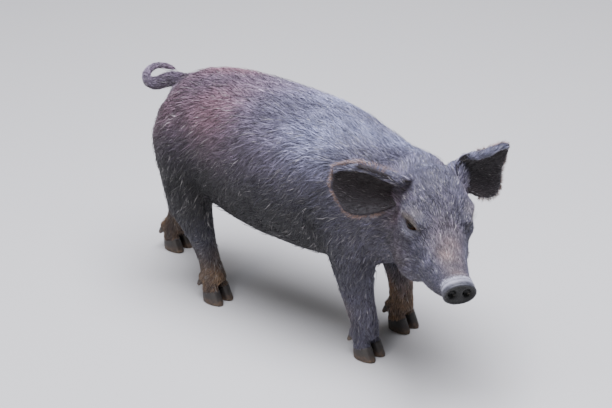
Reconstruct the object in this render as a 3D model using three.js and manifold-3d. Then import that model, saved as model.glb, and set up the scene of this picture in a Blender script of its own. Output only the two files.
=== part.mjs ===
// A young black pig in mid stride, head lowered and turned to its right.
// Millimetres, +X towards the pig's front, +Y to its left, +Z up, soles on z = 0.
import * as THREE from 'three';
import { LoftGeometry } from 'three/addons/geometries/LoftGeometry.js';
import { mergeVertices } from 'three/addons/utils/BufferGeometryUtils.js';
import Module from 'manifold-3d';

const wasm = await Module();
wasm.setup();

// ---------------------------------------------------------------- driving dimensions
const BACK_HEIGHT = 368; // highest point of the back
const BELLY_HEIGHT = 129; // lowest point of the belly
const TRUNK_HALF_WIDTH = 98; // at the belly, where the trunk is widest
const RUMP_X = -258; // rearmost point of the buttocks
const HEAD_LENGTH = 205; // poll to snout disc
const EAR_LENGTH = 106;
const EAR_THICKNESS = 4.2;
const EYE_RADIUS = 11;
const DISC_HALF_WIDTH = 25.5; // of the snout disc
const DISC_HALF_HEIGHT = 20.5;
const NOSTRIL_SPACING = 21; // between the middles of the two openings
const CLAW_HALF_WIDTH = 10;
const CLAW_SPACING = 23; // between the middles of a foot's two claws
const CLAW_HEIGHT = 40; // of the claw's full core, its upper half inside the foot
const CORONET_HEIGHT = 21; // where horn meets skin, in the middle of the foot
const SEAM = 0.45; // width of the thin cuts that part the body, and of the eyes' clearance
const BELOW_FLOOR = 6; // depth to which the claws are drawn before the soles are cut flat

const UP = new THREE.Vector3(0, 0, 1);
const FORWARD = new THREE.Vector3(1, 0, 0);
const radians = THREE.MathUtils.degToRad;

// ---------------------------------------------------------------- lofts
// A station of a loft: its centre, and how far the flesh reaches from there to the
// facing side, to the side behind that, and to left and right.
const station = (x, y, z, front, back, side) => ({
  centre: new THREE.Vector3(x, y, z),
  reach: new THREE.Vector3(front, back, side),
});

// The ring of points round one station. A roundness of 2 is an ellipse, more is squarer.
function ring(centre, along, facing, reach, around, roundness) {
  const side = new THREE.Vector3().crossVectors(along, facing).normalize();
  const front = new THREE.Vector3().crossVectors(side, along).normalize();
  const bulge = (value) => Math.sign(value) * Math.abs(value) ** (2 / roundness);
  return Array.from({ length: around }, (_, i) => {
    const angle = (i / around) * 2 * Math.PI;
    const ahead = bulge(Math.cos(angle));
    return centre
      .clone()
      .addScaledVector(front, ahead * (ahead > 0 ? reach.x : reach.y))
      .addScaledVector(side, bulge(Math.sin(angle)) * reach.z);
  });
}

// A smooth closed body through the stations. Each end is closed by a dome of the given
// depth, a depth of zero making it flat.
function loft(stations, options = {}) {
  const { facing = UP, around = 20, steps = 2, roundness = 2.2, domes = [12, 12] } = options;
  const { domeRings = 2 } = options;
  const centres = new THREE.CatmullRomCurve3(stations.map((s) => s.centre));
  const reaches = new THREE.CatmullRomCurve3(stations.map((s) => s.reach));
  const last = (stations.length - 1) * steps;
  const sections = [];
  const addRing = (t, scale, shift) => {
    const along = centres.getTangent(t);
    const centre = centres.getPoint(t).addScaledVector(along, shift);
    const reach = reaches.getPoint(t).multiplyScalar(scale);
    sections.push(ring(centre, along, facing, reach, around, roundness));
  };
  const addDome = (t, depth, order) => {
    for (const k of order) {
      const angle = (k / domeRings) * (Math.PI / 2);
      addRing(t, Math.cos(angle), depth * Math.sin(angle));
    }
  };
  const outward = Array.from({ length: domeRings }, (_, k) => k + 1);
  addDome(0, -domes[0], [...outward].reverse());
  for (let i = 0; i <= last; i++) addRing(i / last, 1, 0);
  addDome(1, domes[1], outward);
  return new LoftGeometry(sections);
}

// ---------------------------------------------------------------- joining and cutting
function solidOf(geometry, placing) {
  const bare = new THREE.BufferGeometry().copy(geometry);
  bare.deleteAttribute('normal');
  bare.deleteAttribute('uv');
  const merged = mergeVertices(bare, 1e-3);
  if (placing) merged.applyMatrix4(placing);
  const triVerts = [];
  for (let i = 0; i < merged.index.count; i += 3) {
    const [a, b, c] = merged.index.array.subarray(i, i + 3);
    if (a !== b && b !== c && c !== a) triVerts.push(a, b, c); // a dome's tip is one point
  }
  return new wasm.Manifold(
    new wasm.Mesh({
      numProp: 3,
      vertProperties: merged.attributes.position.array,
      triVerts: new Uint32Array(triVerts),
    }),
  );
}

function geometryOf(solid) {
  const { vertProperties, triVerts } = solid.getMesh();
  const geometry = new THREE.BufferGeometry();
  geometry.setAttribute('position', new THREE.BufferAttribute(vertProperties, 3));
  geometry.setIndex(new THREE.BufferAttribute(triVerts, 1));
  geometry.computeVertexNormals();
  return geometry;
}

const join = (solids) => solids.reduce((whole, solid) => whole.add(solid));
const cutAll = (solid, cutters) => cutters.reduce((left, cutter) => left.subtract(cutter), solid);

// The placing that puts a shape's own +Y along a direction.
function alongDirection(at, direction) {
  const turn = new THREE.Quaternion().setFromUnitVectors(
    new THREE.Vector3(0, 1, 0),
    direction.clone().normalize(),
  );
  return new THREE.Matrix4().compose(at, turn, new THREE.Vector3(1, 1, 1));
}

// A thin flat cut that parts a limb from the body.
function seamCut(at, direction, reach) {
  const slab = new THREE.BoxGeometry(2 * reach, SEAM, 2 * reach);
  return solidOf(slab, alongDirection(at, direction));
}

function ellipsoid(x, y, z, halfLength, halfWidth, halfHeight, detail = 12) {
  const ball = new THREE.SphereGeometry(1, detail, Math.round(detail * 0.7));
  return ball.scale(halfLength, halfWidth, halfHeight).translate(x, y, z);
}

// ---------------------------------------------------------------- trunk and neck
// Each row of the trunk: x, y, top, bottom, half-width.
function trunkStation(x, y, top, bottom, half) {
  const middle = bottom + (top - bottom) * 0.52;
  return station(x, y, middle, top - middle, middle - bottom, half);
}

const trunkAndNeck = loft(
  [
    trunkStation(RUMP_X + 8, 0, BACK_HEIGHT - 32, 236, 44),
    trunkStation(RUMP_X + 34, 0, BACK_HEIGHT - 12, 204, 72),
    trunkStation(-175, 0, BACK_HEIGHT - 1, 168, 88),
    trunkStation(-115, 0, BACK_HEIGHT, 146, 94),
    trunkStation(-45, 0, BACK_HEIGHT - 2, BELLY_HEIGHT + 3, TRUNK_HALF_WIDTH),
    trunkStation(30, 0, BACK_HEIGHT - 7, BELLY_HEIGHT, TRUNK_HALF_WIDTH),
    trunkStation(95, 0, BACK_HEIGHT - 25, BELLY_HEIGHT + 2, 90),
    trunkStation(145, -1, BACK_HEIGHT - 36, BELLY_HEIGHT + 14, 80),
    trunkStation(185, -6, BACK_HEIGHT - 38, 165, 70),
    trunkStation(222, -16, BACK_HEIGHT - 34, 190, 62),
  ],
  { around: 22, domes: [14, 20] },
);

// ---------------------------------------------------------------- head
// The head's own frame: origin at the middle of the snout disc, +X out of the disc.
const headFrame = new THREE.Object3D();
headFrame.position.set(360, -122, 205);
headFrame.rotation.set(radians(-4), radians(18), radians(-38), 'ZYX');
headFrame.updateMatrix();
const inHead = (x, y, z) => new THREE.Vector3(x, y, z).applyMatrix4(headFrame.matrix);
const headward = (x, y, z) => new THREE.Vector3(x, y, z).transformDirection(headFrame.matrix);

// Each row of the head: x, top, bottom, half-width, in the head's own frame.
function headStation(x, top, bottom, half) {
  const middle = (top + bottom) / 2;
  return station(x, 0, middle, top - middle, middle - bottom, half);
}

const muzzleAndSkull = loft(
  [
    headStation(-HEAD_LENGTH, 76, -34, 42),
    headStation(-HEAD_LENGTH * 0.88, 83, -60, 52),
    headStation(-HEAD_LENGTH * 0.75, 76, -74, 56),
    headStation(-HEAD_LENGTH * 0.62, 58, -70, 52),
    headStation(-HEAD_LENGTH * 0.5, 41, -66, 43),
    headStation(-HEAD_LENGTH * 0.38, 29, -60, 35),
    headStation(-HEAD_LENGTH * 0.25, 22, -46, 29),
    headStation(-HEAD_LENGTH * 0.16, 20, -33, 25.5),
    headStation(-HEAD_LENGTH * 0.1, 19, -20, 23),
    headStation(-HEAD_LENGTH * 0.065, 18, -17, 21),
  ],
  { around: 20, domes: [12, 1] },
);

// The disc is a low drum with a softened rim, its face across the end of the muzzle.
const RIM = 2.5; // softening of the disc's rim
const snoutDrum = loft(
  [
    headStation(-26, DISC_HALF_HEIGHT - 3, -DISC_HALF_HEIGHT + 3, DISC_HALF_WIDTH - 3),
    headStation(-10, DISC_HALF_HEIGHT, -DISC_HALF_HEIGHT, DISC_HALF_WIDTH),
    headStation(-RIM, DISC_HALF_HEIGHT, -DISC_HALF_HEIGHT, DISC_HALF_WIDTH),
    headStation(0, DISC_HALF_HEIGHT - RIM, -DISC_HALF_HEIGHT + RIM, DISC_HALF_WIDTH - RIM),
  ],
  { around: 22, steps: 1, domes: [3, 0] },
);

const bothSides = [-1, 1]; // right, left
const jowls = bothSides.map((side) => ellipsoid(-134, side * 25, -39, 58, 30, 39));
const skull = join(
  [muzzleAndSkull, snoutDrum, ...jowls].map((shape) => solidOf(shape, headFrame.matrix)),
);
const nostrils = bothSides.map((side) =>
  solidOf(ellipsoid(0, (side * NOSTRIL_SPACING) / 2, 0.5, 8, 5, 7, 8), headFrame.matrix),
);

// ---------------------------------------------------------------- eyes
const eyeCentre = (side) => inHead(-120, side * 36, 25);
const eyeball = (side, radius) => {
  const ball = new THREE.SphereGeometry(radius, 12, 9);
  return solidOf(ball, new THREE.Matrix4().setPosition(eyeCentre(side)));
};

// ---------------------------------------------------------------- ears
// The ears are held differently: the right one broad with its upper margin rolled over,
// the left one swept back to a point. Directions are in the head's own frame. The margins
// are distances above and below the long axis of the leaf laid flat, from root to tip.
const EARS = {
  right: {
    side: -1,
    root: [-166, -50, 44],
    tip: [-0.2, -0.97, 0.14],
    open: [0.9, -0.05, 0.39],
    roll: 150,
    upper: [30, 40, 47, 50, 44, 22],
    lower: [16, 26, 35, 40, 37, 12],
  },
  left: {
    side: 1,
    root: [-176, 42, 60],
    tip: [-0.4, 0.85, -0.27],
    open: [0.73, 0.2, 0.49],
    roll: 40,
    upper: [38, 40, 41, 40, 37, 29],
    lower: [20, 31, 37, 37, 26, -14],
  },
};
const ROLL_WIDTH = 26; // of the rolled strip along the upper margin

const between = (heights, t) => {
  const curve = new THREE.SplineCurve(heights.map((height, i) => new THREE.Vector2(i, height)));
  return curve.getPoint(t).y;
};

// A leaf of flesh curled about its long axis. Its own frame: origin at the root, +X to
// the tip, +Y across to the upper margin, the hollow facing side * +Z.
function earLeaf(form) {
  const ROWS = 9;
  const ACROSS = 10;
  const EMBEDDED = 12; // length of the root inside the skull
  const sections = [];
  for (let i = 0; i <= ROWS; i++) {
    const t = i / ROWS;
    const upper = between(form.upper, t);
    const lower = between(form.lower, t);
    const curlPerLength = radians(0.9 + 0.8 * (1 - t) ** 2);
    const rollHere = radians(form.roll) * Math.sin(Math.PI * (0.12 + 0.8 * t));
    const rim = [];
    let y = -lower;
    let z = 0;
    let across = -lower;
    for (let k = 1; k <= ACROSS; k++) {
      const rolled = Math.max(0, 1 - (upper - across) / ROLL_WIDTH) ** 1.5;
      const bend = curlPerLength * across + rollHere * rolled;
      rim.push({ y, z, bend, edge: (across + lower) / (upper + lower) });
      const next = upper - (upper + lower) * (1 - k / (ACROSS - 1)) ** 1.4; // closer towards the roll
      y += Math.cos(bend) * (next - across);
      z += Math.sin(bend) * (next - across);
      across = next;
    }
    const lowest = Math.min(...rim.map((r) => r.z));
    const surfacePoint = (r, offset) => {
      const thick = EAR_THICKNESS * (1 - 0.4 * t) * (0.4 + 0.6 * Math.sin(Math.PI * r.edge));
      return new THREE.Vector3(
        EAR_LENGTH * t - EMBEDDED,
        r.y - Math.sin(r.bend) * offset * thick,
        form.side * (r.z - lowest + Math.cos(r.bend) * offset * thick),
      );
    };
    const back = rim.map((r) => surfacePoint(r, -0.5));
    const hollow = rim.map((r) => surfacePoint(r, 0.5)).reverse();
    const section = [...back, ...hollow];
    sections.push(form.side > 0 ? section : section.reverse());
  }
  return new LoftGeometry(sections, { capStart: true, capEnd: true });
}

function ear(form) {
  const tip = headward(...form.tip);
  const hollow = headward(...form.open).multiplyScalar(form.side);
  const upper = new THREE.Vector3().crossVectors(hollow, tip).normalize();
  hollow.crossVectors(tip, upper);
  const placing = new THREE.Matrix4().makeBasis(tip, upper, hollow);
  return solidOf(earLeaf(form), placing.setPosition(inHead(...form.root)));
}

// ---------------------------------------------------------------- legs
// Each row of a leg, from the body down: x, y, z, then reach forward, back and sideways.
const LEGS = {
  right_hind: {
    rows: [
      [-190, -18, 320, 26, 26, 26],
      [-196, -42, 296, 58, 52, 41],
      [-198, -52, 260, 64, 57, 43],
      [-198, -56, 230, 56, 47, 40],
      [-191, -58, 186, 42, 40, 35],
      [-187, -57, 152, 36, 39, 30],
      [-175, -55, 120, 27, 28, 23],
      [-168, -54, 98, 24, 24, 20],
      [-159, -53, 74, 19, 19, 17],
      [-152, -52, 48, 18, 18, 17],
      [-149, -51, 33, 18, 19, 19],
    ],
    foot: [-145, -51],
    cut: { at: [-188, -57, 153], along: [0.1, 0, 1], reach: 50 },
  },
  left_hind: {
    rows: [
      [-190, 18, 320, 26, 26, 26],
      [-196, 42, 296, 58, 52, 41],
      [-200, 52, 260, 62, 57, 43],
      [-206, 56, 230, 56, 48, 40],
      [-222, 58, 190, 45, 42, 35],
      [-246, 56, 156, 36, 38, 30],
      [-278, 52, 122, 28, 29, 23],
      [-298, 50, 98, 23, 23, 20],
      [-311, 48, 70, 19, 19, 17],
      [-317, 46, 46, 18, 18, 17],
      [-319, 45, 33, 18, 19, 19],
    ],
    foot: [-315, 45],
    cut: { at: [-252, 56, 150], along: [0.7, 0, 1], reach: 52 },
  },
  right_fore: {
    rows: [
      [104, -18, 306, 26, 32, 24],
      [110, -40, 284, 44, 52, 36],
      [114, -50, 238, 48, 54, 37],
      [118, -53, 190, 42, 46, 32],
      [123, -51, 150, 36, 38, 28],
      [126, -50, 118, 30, 31, 24],
      [132, -48, 88, 26, 28, 21],
      [140, -47, 56, 22, 22, 18],
      [143, -46, 33, 19, 20, 18],
    ],
    foot: [147, -46],
    cut: { at: [125, -50, 126], along: [-0.1, 0, 1], reach: 42 },
  },
  left_fore: {
    rows: [
      [104, 18, 306, 26, 32, 24],
      [110, 40, 284, 44, 52, 36],
      [114, 50, 238, 48, 54, 37],
      [118, 53, 190, 42, 46, 32],
      [123, 53, 150, 36, 38, 28],
      [127, 53, 118, 29, 30, 24],
      [131, 53, 88, 22, 23, 20],
      [133, 53, 56, 18, 18, 17],
      [133, 53, 33, 18, 19, 18],
    ],
    foot: [137, 53],
    cut: { at: [126, 53, 126], along: [-0.1, 0, 1], reach: 42 },
  },
};

const COARSE = { facing: FORWARD, steps: 1, domeRings: 1 };
const legLoft = ({ rows }) =>
  loft(rows.map((row) => station(...row)), { ...COARSE, around: 14, domes: [8, 6] });

// One claw: a flat sole, a pointed toe forward, its top rising inside the foot.
const clawLoft = ([x, y], side) =>
  loft(
    [
      station(x, y + (side * CLAW_SPACING) / 2, -BELOW_FLOOR, 22, 19, CLAW_HALF_WIDTH - 0.8),
      station(x, y + (side * CLAW_SPACING) / 2, 2, 20, 18.5, CLAW_HALF_WIDTH),
      station(x - 3, y + side * 11.3, CLAW_HEIGHT * 0.5, 15, 17, CLAW_HALF_WIDTH - 0.4),
      station(x - 9, y + side * 10, CLAW_HEIGHT, 11, 11, CLAW_HALF_WIDTH - 3),
    ],
    { ...COARSE, around: 10, domes: [0, 3] },
  );

// A dewclaw: a small blunt cone behind the foot, pointing down and back.
const dewclawLoft = ([x, y], side) =>
  loft(
    [
      station(x - 17, y + side * 10.5, 38, 6.5, 6.5, 5.5),
      station(x - 24, y + side * 11.5, 30, 5.5, 5.5, 4.8),
      station(x - 29, y + side * 12, 23, 3, 3, 2.8),
    ],
    { ...COARSE, around: 6, domes: [3, 2] },
  );

// ---------------------------------------------------------------- tail
// Each row of the tail: x, y, z and radius, from the root round the curl to the tip.
const TAIL_ROWS = [
  [-240, 0, 330, 14],
  [-268, -2, 326, 12.5],
  [-288, -12, 317, 10.5],
  [-302, -18, 318, 8.5],
  [-308, -14, 329, 6.5],
  [-302, -4, 339, 5.4],
  [-290, 6, 340, 4.8],
  [-277, 14, 336, 4.2],
  [-266, 20, 330, 3.4],
].map(([x, y, z, radius]) => station(x, y, z, radius, radius, radius));
const TAIL_FACING = new THREE.Vector3(0.52, -0.69, 0.5); // square to the curl's plane
const tail = loft(TAIL_ROWS, { facing: TAIL_FACING, around: 9, domes: [4, 3] });
const tailPath = new THREE.CatmullRomCurve3(TAIL_ROWS.map((row) => row.centre));

// ---------------------------------------------------------------- the body in one piece
const legs = Object.values(LEGS);
const feet = legs.map((leg) => leg.foot);
const flesh = join([
  solidOf(trunkAndNeck),
  skull,
  ...legs.map((leg) => solidOf(legLoft(leg))),
  ...feet.flatMap((foot) => bothSides.map((side) => solidOf(clawLoft(foot, side)))),
  solidOf(tail),
]);

// ---------------------------------------------------------------- parting
const point = (x, y, z) => new THREE.Vector3(x, y, z);
const TAIL_CUT_PLACES = [0.13, 0.42, 0.68]; // along the tail, root to tip
const headCuts = [
  seamCut(point(165, -3, 265), point(1, -0.15, 0), 135), // trunk and neck
  seamCut(inHead(-196, 0, -6), point(0.88, -0.38, -0.12), 135), // neck and head
  seamCut(inHead(-12, 0, 0), headward(1, 0, 0), 34), // head and snout disc
];
const legCuts = legs.map(({ cut }) => seamCut(point(...cut.at), point(...cut.along), cut.reach));
const coronetCuts = feet.map(([x, y]) =>
  seamCut(point(x - 4, y, CORONET_HEIGHT), point(-0.3, 0, 1), 34),
);
const tailCuts = TAIL_CUT_PLACES.map((t) => seamCut(tailPath.getPoint(t), tailPath.getTangent(t), 18));
const floor = solidOf(new THREE.BoxGeometry(900, 400, 40).translate(0, 0, -20));
const sockets = bothSides.map((side) => eyeball(side, EYE_RADIUS + SEAM));
const cutters = [floor, ...headCuts, ...legCuts, ...coronetCuts, ...tailCuts, ...nostrils, ...sockets];
const pieces = cutAll(flesh, cutters).decompose();
const CRUMB = 100; // cubic millimetres: specks the cuts leave behind

const middleOf = (solid) => {
  const { min, max } = solid.boundingBox();
  return point(...min.map((low, i) => (low + max[i]) / 2));
};
function pieceNear(x, y, z) {
  const distance = (piece) => middleOf(piece).distanceTo(point(x, y, z));
  const whole = pieces.filter((piece) => piece.volume() > CRUMB);
  return whole.sort((a, b) => distance(a) - distance(b))[0];
}
const byVolume = (a, b) => b.volume() - a.volume();
const outside = (solid) => solid.subtract(flesh).decompose().sort(byVolume)[0];

// ---------------------------------------------------------------- the parts, named
const LOOKS = {
  coat: { color: 0x4b484f, roughness: 0.75, metalness: 0 },
  snout: { color: 0x5b5754, roughness: 0.45, metalness: 0 },
  horn: { color: 0x3a332d, roughness: 0.55, metalness: 0 },
  eye: { color: 0x1a120e, roughness: 0.08, metalness: 0 },
};
const pig = new THREE.Group();
function addPart(name, solid, look, shift = point(0, 0, 0)) {
  const middle = middleOf(solid);
  const geometry = geometryOf(solid).translate(-middle.x, -middle.y, -middle.z);
  const mesh = new THREE.Mesh(geometry, new THREE.MeshStandardMaterial(LOOKS[look]));
  mesh.name = name;
  mesh.position.copy(middle).add(shift);
  pig.add(mesh);
}

addPart('trunk', pieceNear(-81, 0, 240), 'coat');
addPart('neck', pieceNear(200, -5, 260), 'coat');
addPart('head', pieceNear(265, -36, 235), 'coat');
addPart('snout_disc', pieceNear(355, -118, 205), 'snout');
addPart('tail_base', pieceNear(-288, -9, 322), 'coat');
addPart('tail_curl', pieceNear(-304, -10, 331), 'coat');
addPart('tail_tip', pieceNear(-282, 10, 336), 'coat');
for (const [limb, { foot, rows }] of Object.entries(LEGS)) {
  const [x, y] = foot;
  const knee = rows[rows.length - 4];
  addPart(`${limb}_leg`, pieceNear(knee[0], knee[1], 75), 'coat');
  for (const side of bothSides) {
    const toe = side * Math.sign(y) > 0 ? 'outer' : 'inner';
    addPart(`${limb}_${toe}_claw`, pieceNear(x, y + side * 11, 11), 'horn');
    const dewclaw = outside(solidOf(dewclawLoft(foot, side)));
    addPart(`${limb}_${toe}_dewclaw`, dewclaw, 'horn', point(-SEAM, 0, 0));
  }
}
for (const [name, form] of Object.entries(EARS)) {
  addPart(`${name}_ear`, outside(ear(form)), 'coat', headward(...form.tip).multiplyScalar(SEAM));
  addPart(`${name}_eye`, eyeball(form.side, EYE_RADIUS), 'eye');
}

// The origin goes to the middle of the footprint, on the floor.
const box = new THREE.Box3().setFromObject(pig);
const footprintMiddle = box.getCenter(point(0, 0, 0)).setZ(box.min.z);
for (const part of pig.children) part.position.sub(footprintMiddle);

export default pig;
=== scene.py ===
# %% [markdown]
# # A young black pig, walking
# This script dresses a solid model of a young pig. The solids give the size, the pose and
# the outline, out to the tips of the coat. What is added here is what the eye reads as a
# living animal: one skin without seams, eyelids and a wrinkled snout, glossy eyes, horn
# claws, and a coat of short bristles. Everything is in metres, in the solids' own frame:
# +X towards the pig's front, +Y to its left, +Z up.

# %% Load the solids
import math
import bpy
import numpy as np
import openvdb as vdb
from mathutils import Matrix, Vector


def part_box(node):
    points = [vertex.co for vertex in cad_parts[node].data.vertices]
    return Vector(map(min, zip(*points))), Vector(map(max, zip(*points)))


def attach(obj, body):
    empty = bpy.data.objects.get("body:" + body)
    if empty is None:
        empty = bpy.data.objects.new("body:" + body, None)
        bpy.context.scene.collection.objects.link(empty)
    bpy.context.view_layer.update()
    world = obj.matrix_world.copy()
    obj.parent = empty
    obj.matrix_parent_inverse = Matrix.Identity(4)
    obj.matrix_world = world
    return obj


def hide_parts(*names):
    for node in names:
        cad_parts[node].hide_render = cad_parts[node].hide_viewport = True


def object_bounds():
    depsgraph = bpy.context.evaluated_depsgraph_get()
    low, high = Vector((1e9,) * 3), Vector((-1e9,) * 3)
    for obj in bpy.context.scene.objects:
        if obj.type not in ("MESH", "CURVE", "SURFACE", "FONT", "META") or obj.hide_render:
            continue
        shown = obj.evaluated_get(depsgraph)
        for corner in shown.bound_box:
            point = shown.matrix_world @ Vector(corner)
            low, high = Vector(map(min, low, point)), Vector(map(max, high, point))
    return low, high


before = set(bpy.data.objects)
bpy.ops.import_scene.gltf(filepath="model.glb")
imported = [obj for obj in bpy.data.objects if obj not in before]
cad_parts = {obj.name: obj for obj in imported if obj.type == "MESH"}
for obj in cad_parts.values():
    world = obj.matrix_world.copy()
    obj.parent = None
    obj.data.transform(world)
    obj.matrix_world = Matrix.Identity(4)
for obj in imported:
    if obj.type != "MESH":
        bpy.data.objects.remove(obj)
solid_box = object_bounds()
MM = 0.001
print(len(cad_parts), "solids; the box runs from", [round(x, 3) for x in solid_box[0]])
print("to", [round(x, 3) for x in solid_box[1]])

# %% [markdown]
# The eyes sit symmetrically in the skull, so they give the head's own frame: the line
# between them points to the pig's left, and the head's turn and drop give the rest. In
# that frame the middle of the snout disc is the origin and +X points out of the nose. A
# face is far easier to describe there than in the tilted head as it stands.

# %% The head's own frame
HEAD_TURN, HEAD_DROP, HEAD_LEAN = math.radians(-38), math.radians(18), math.radians(-4)
EYE_AHEAD, EYE_ASIDE, EYE_UP = -120, 36, 25  # millimetres in the head's frame


def middle(node):
    """The middle of a solid's box."""
    low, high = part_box(node)
    return np.array((low + high) / 2)


head_axes = np.array(
    Matrix.Rotation(HEAD_TURN, 3, "Z")
    @ Matrix.Rotation(HEAD_DROP, 3, "Y")
    @ Matrix.Rotation(HEAD_LEAN, 3, "X")
)
between_eyes = (middle("right_eye") + middle("left_eye")) / 2
snout_tip = between_eyes - head_axes @ (np.array([EYE_AHEAD, EYE_ASIDE, EYE_UP]) * MM * [1, 0, 1])


def from_head(points):
    """Places given in the head's own frame, put into the pig's frame."""
    return np.asarray(points, float) @ head_axes.T + snout_tip


def into_head(points):
    """Places in the pig's frame, put into the head's own."""
    return (points - snout_tip) @ head_axes


print("snout tip at", snout_tip.round(3), "eyes found at", into_head(middle("left_eye")).round(4))

# %% [markdown]
# A skin without seams is easiest to make as a field: a block of little cells that each
# hold the distance to the surface, negative inside. In a field, closing a seam, rounding
# a crease, drawing the skin in by the depth of the coat or adding a wrinkle is one line of
# arithmetic each, and the surface is found at the end. The cells set the finest form that
# can be modelled: a wrinkle has to be about two cells wide.

# %% The block of cells
VOXEL = 1.7 * MM
MARGIN = 14 * MM
BAND = 9  # cells on each side of the surface in which distances are kept
low = np.array(solid_box[0]) - MARGIN
first_cell = np.floor(low / VOXEL).astype(int)
cells = np.ceil((np.array(solid_box[1]) + MARGIN - low) / VOXEL).astype(int) + 1
axes = [(first_cell[i] + np.arange(cells[i])) * VOXEL for i in range(3)]
print("a block of", " x ".join(str(number) for number in cells), "cells")

# %% [markdown]
# OpenVDB, which Blender brings, turns a mesh into such a field and a field back into a
# mesh of even quads. Its grids are sparse, so here they are copied to and from plain
# arrays, where ordinary arithmetic works on all the cells at once.

# %% From solids to fields and back
def field_of(points, triangles=None, quads=None):
    """The distance field of a closed mesh, as an array over the block of cells."""
    grid = vdb.FloatGrid.createLevelSetFromPolygons(
        np.ascontiguousarray(points, np.float32), triangles=triangles, quads=quads,
        transform=vdb.createLinearTransform(VOXEL), halfWidth=BAND,
    )
    field = np.empty(cells, np.float32)
    grid.copyToArray(field, ijk=tuple(int(i) for i in first_cell))
    return field


def surface_of(field, level=0.0):
    """Points and quads of the surface where the field has this value."""
    grid = vdb.FloatGrid(BAND * VOXEL)
    grid.transform = vdb.createLinearTransform(VOXEL)
    grid.copyFromArray(field, ijk=tuple(int(i) for i in first_cell))
    return grid.convertToQuads(level)


def mesh_of(nodes):
    """The vertices and triangles of several solids as one."""
    points, triangles, count = [], [], 0
    for name in nodes:
        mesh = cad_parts[name].data
        mesh.calc_loop_triangles()
        places = np.empty(len(mesh.vertices) * 3, np.float32)
        mesh.vertices.foreach_get("co", places)
        corners = np.empty(len(mesh.loop_triangles) * 3, np.int32)
        mesh.loop_triangles.foreach_get("vertices", corners)
        points.append(places.reshape(-1, 3))
        triangles.append(corners.reshape(-1, 3).astype(np.uint32) + count)
        count += len(mesh.vertices)
    return np.concatenate(points), np.concatenate(triangles)


print("the trunk has", len(mesh_of(["trunk"])[1]), "triangles")

# %% [markdown]
# The solids are parted by thin cuts, which living skin doesn't have. Growing the surface a
# little closes them, and measuring the distance afresh from the grown surface gives a
# clean field with nothing left of the cuts inside. The ears are kept apart for now: they
# are so thin that the rounding which suits the body would rub them away.

# %% Close the cuts
LIMBS = ("right_hind", "left_hind", "right_fore", "left_fore")
TOES = [f"{limb}_{toe}" for limb in LIMBS for toe in ("outer", "inner")]
FLESH = ["trunk", "neck", "head", "snout_disc", "tail_base", "tail_curl", "tail_tip"]
FLESH += [f"{limb}_leg" for limb in LIMBS]
EARS = ["right_ear", "left_ear"]
CLAWS = [f"{toe}_claw" for toe in TOES]
DEWCLAWS = [f"{toe}_dewclaw" for toe in TOES]
EYES = ["right_eye", "left_eye"]
CUT_CLOSING = 0.6 * MM

rough_points, rough_triangles = mesh_of(FLESH + CLAWS + EYES)
grown_points, grown_quads = surface_of(field_of(rough_points, triangles=rough_triangles), CUT_CLOSING)
flesh = field_of(grown_points, quads=grown_quads) + CUT_CLOSING
print("closed surface:", len(grown_quads), "quads")

# %% [markdown]
# Where a leg meets the trunk the solids leave a hard crease. Blurring a distance field
# rounds such creases like muscle under skin. A bell curve blurs equally in all directions,
# and it can be laid along one axis after the other, which is quick.

# %% Blur a field
def smooth_step(value, start, end):
    """Rises smoothly from 0 at the start to 1 at the end."""
    t = np.clip((value - start) / (end - start), 0, 1)
    return t * t * (3 - 2 * t)


def blurred(field, reach, voxel=VOXEL):
    """The field averaged with a bell curve of this reach, one axis after the other."""
    steps = int(math.ceil(2.4 * reach / voxel))
    weights = np.exp(-0.5 * (np.arange(-steps, steps + 1) * voxel / reach) ** 2).astype(np.float32)
    weights /= weights.sum()
    for axis in range(3):
        padded = np.pad(field, [(steps, steps) if i == axis else (0, 0) for i in range(3)], mode="edge")
        length = field.shape[axis]
        field = np.zeros_like(field)
        for k, weight in enumerate(weights):
            part = [slice(None)] * 3
            part[axis] = slice(k, k + length)
            field += weight * padded[tuple(part)]
    return field


BODY_ROUNDING, FINE_ROUNDING = 5 * MM, 1.6 * MM
body_blur, fine_blur = blurred(flesh, BODY_ROUNDING), blurred(flesh, FINE_ROUNDING)
print("blurred by", round(BODY_ROUNDING / MM, 1), "and", round(FINE_ROUNDING / MM, 1), "mm")

# %% [markdown]
# The body takes the wide blur, the face, feet and tail the narrow one, and smooth weights
# lead from one to the other.

# %% Round the creases
grid_x, grid_y, grid_z = (
    axes[0][:, None, None].astype(np.float32),
    axes[1][None, :, None].astype(np.float32),
    axes[2][None, None, :].astype(np.float32),
)
FACE_REACH = 150 * MM  # the face's fine forms end this far behind the snout
FOOT_TOP = 110 * MM
TAIL_START = middle("tail_base")[0] + 25 * MM
from_snout = np.sqrt(
    (grid_x - snout_tip[0]) ** 2 + (grid_y - snout_tip[1]) ** 2 + (grid_z - snout_tip[2]) ** 2
)
face_weight = 1 - smooth_step(from_snout, FACE_REACH - 40 * MM, FACE_REACH + 20 * MM)
foot_weight = 1 - smooth_step(grid_z, FOOT_TOP - 50 * MM, FOOT_TOP)
tail_weight = (1 - smooth_step(grid_x, TAIL_START - 20 * MM, TAIL_START)) * smooth_step(grid_z, 0.27, 0.29)
fine_weight = np.maximum(np.maximum(face_weight, foot_weight), tail_weight)
skin = fine_weight * fine_blur + (1 - fine_weight) * body_blur
del body_blur, fine_blur
print("fine forms are kept in", round(100 * float((fine_weight > 0.5).mean())), "% of the block")

# %% [markdown]
# The solids reach out to the tips of the bristles, so the skin lies inside them by the
# depth of the coat: about 3 mm on the body, less on the face, and hardly anything on the
# feet and the tail.

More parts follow.
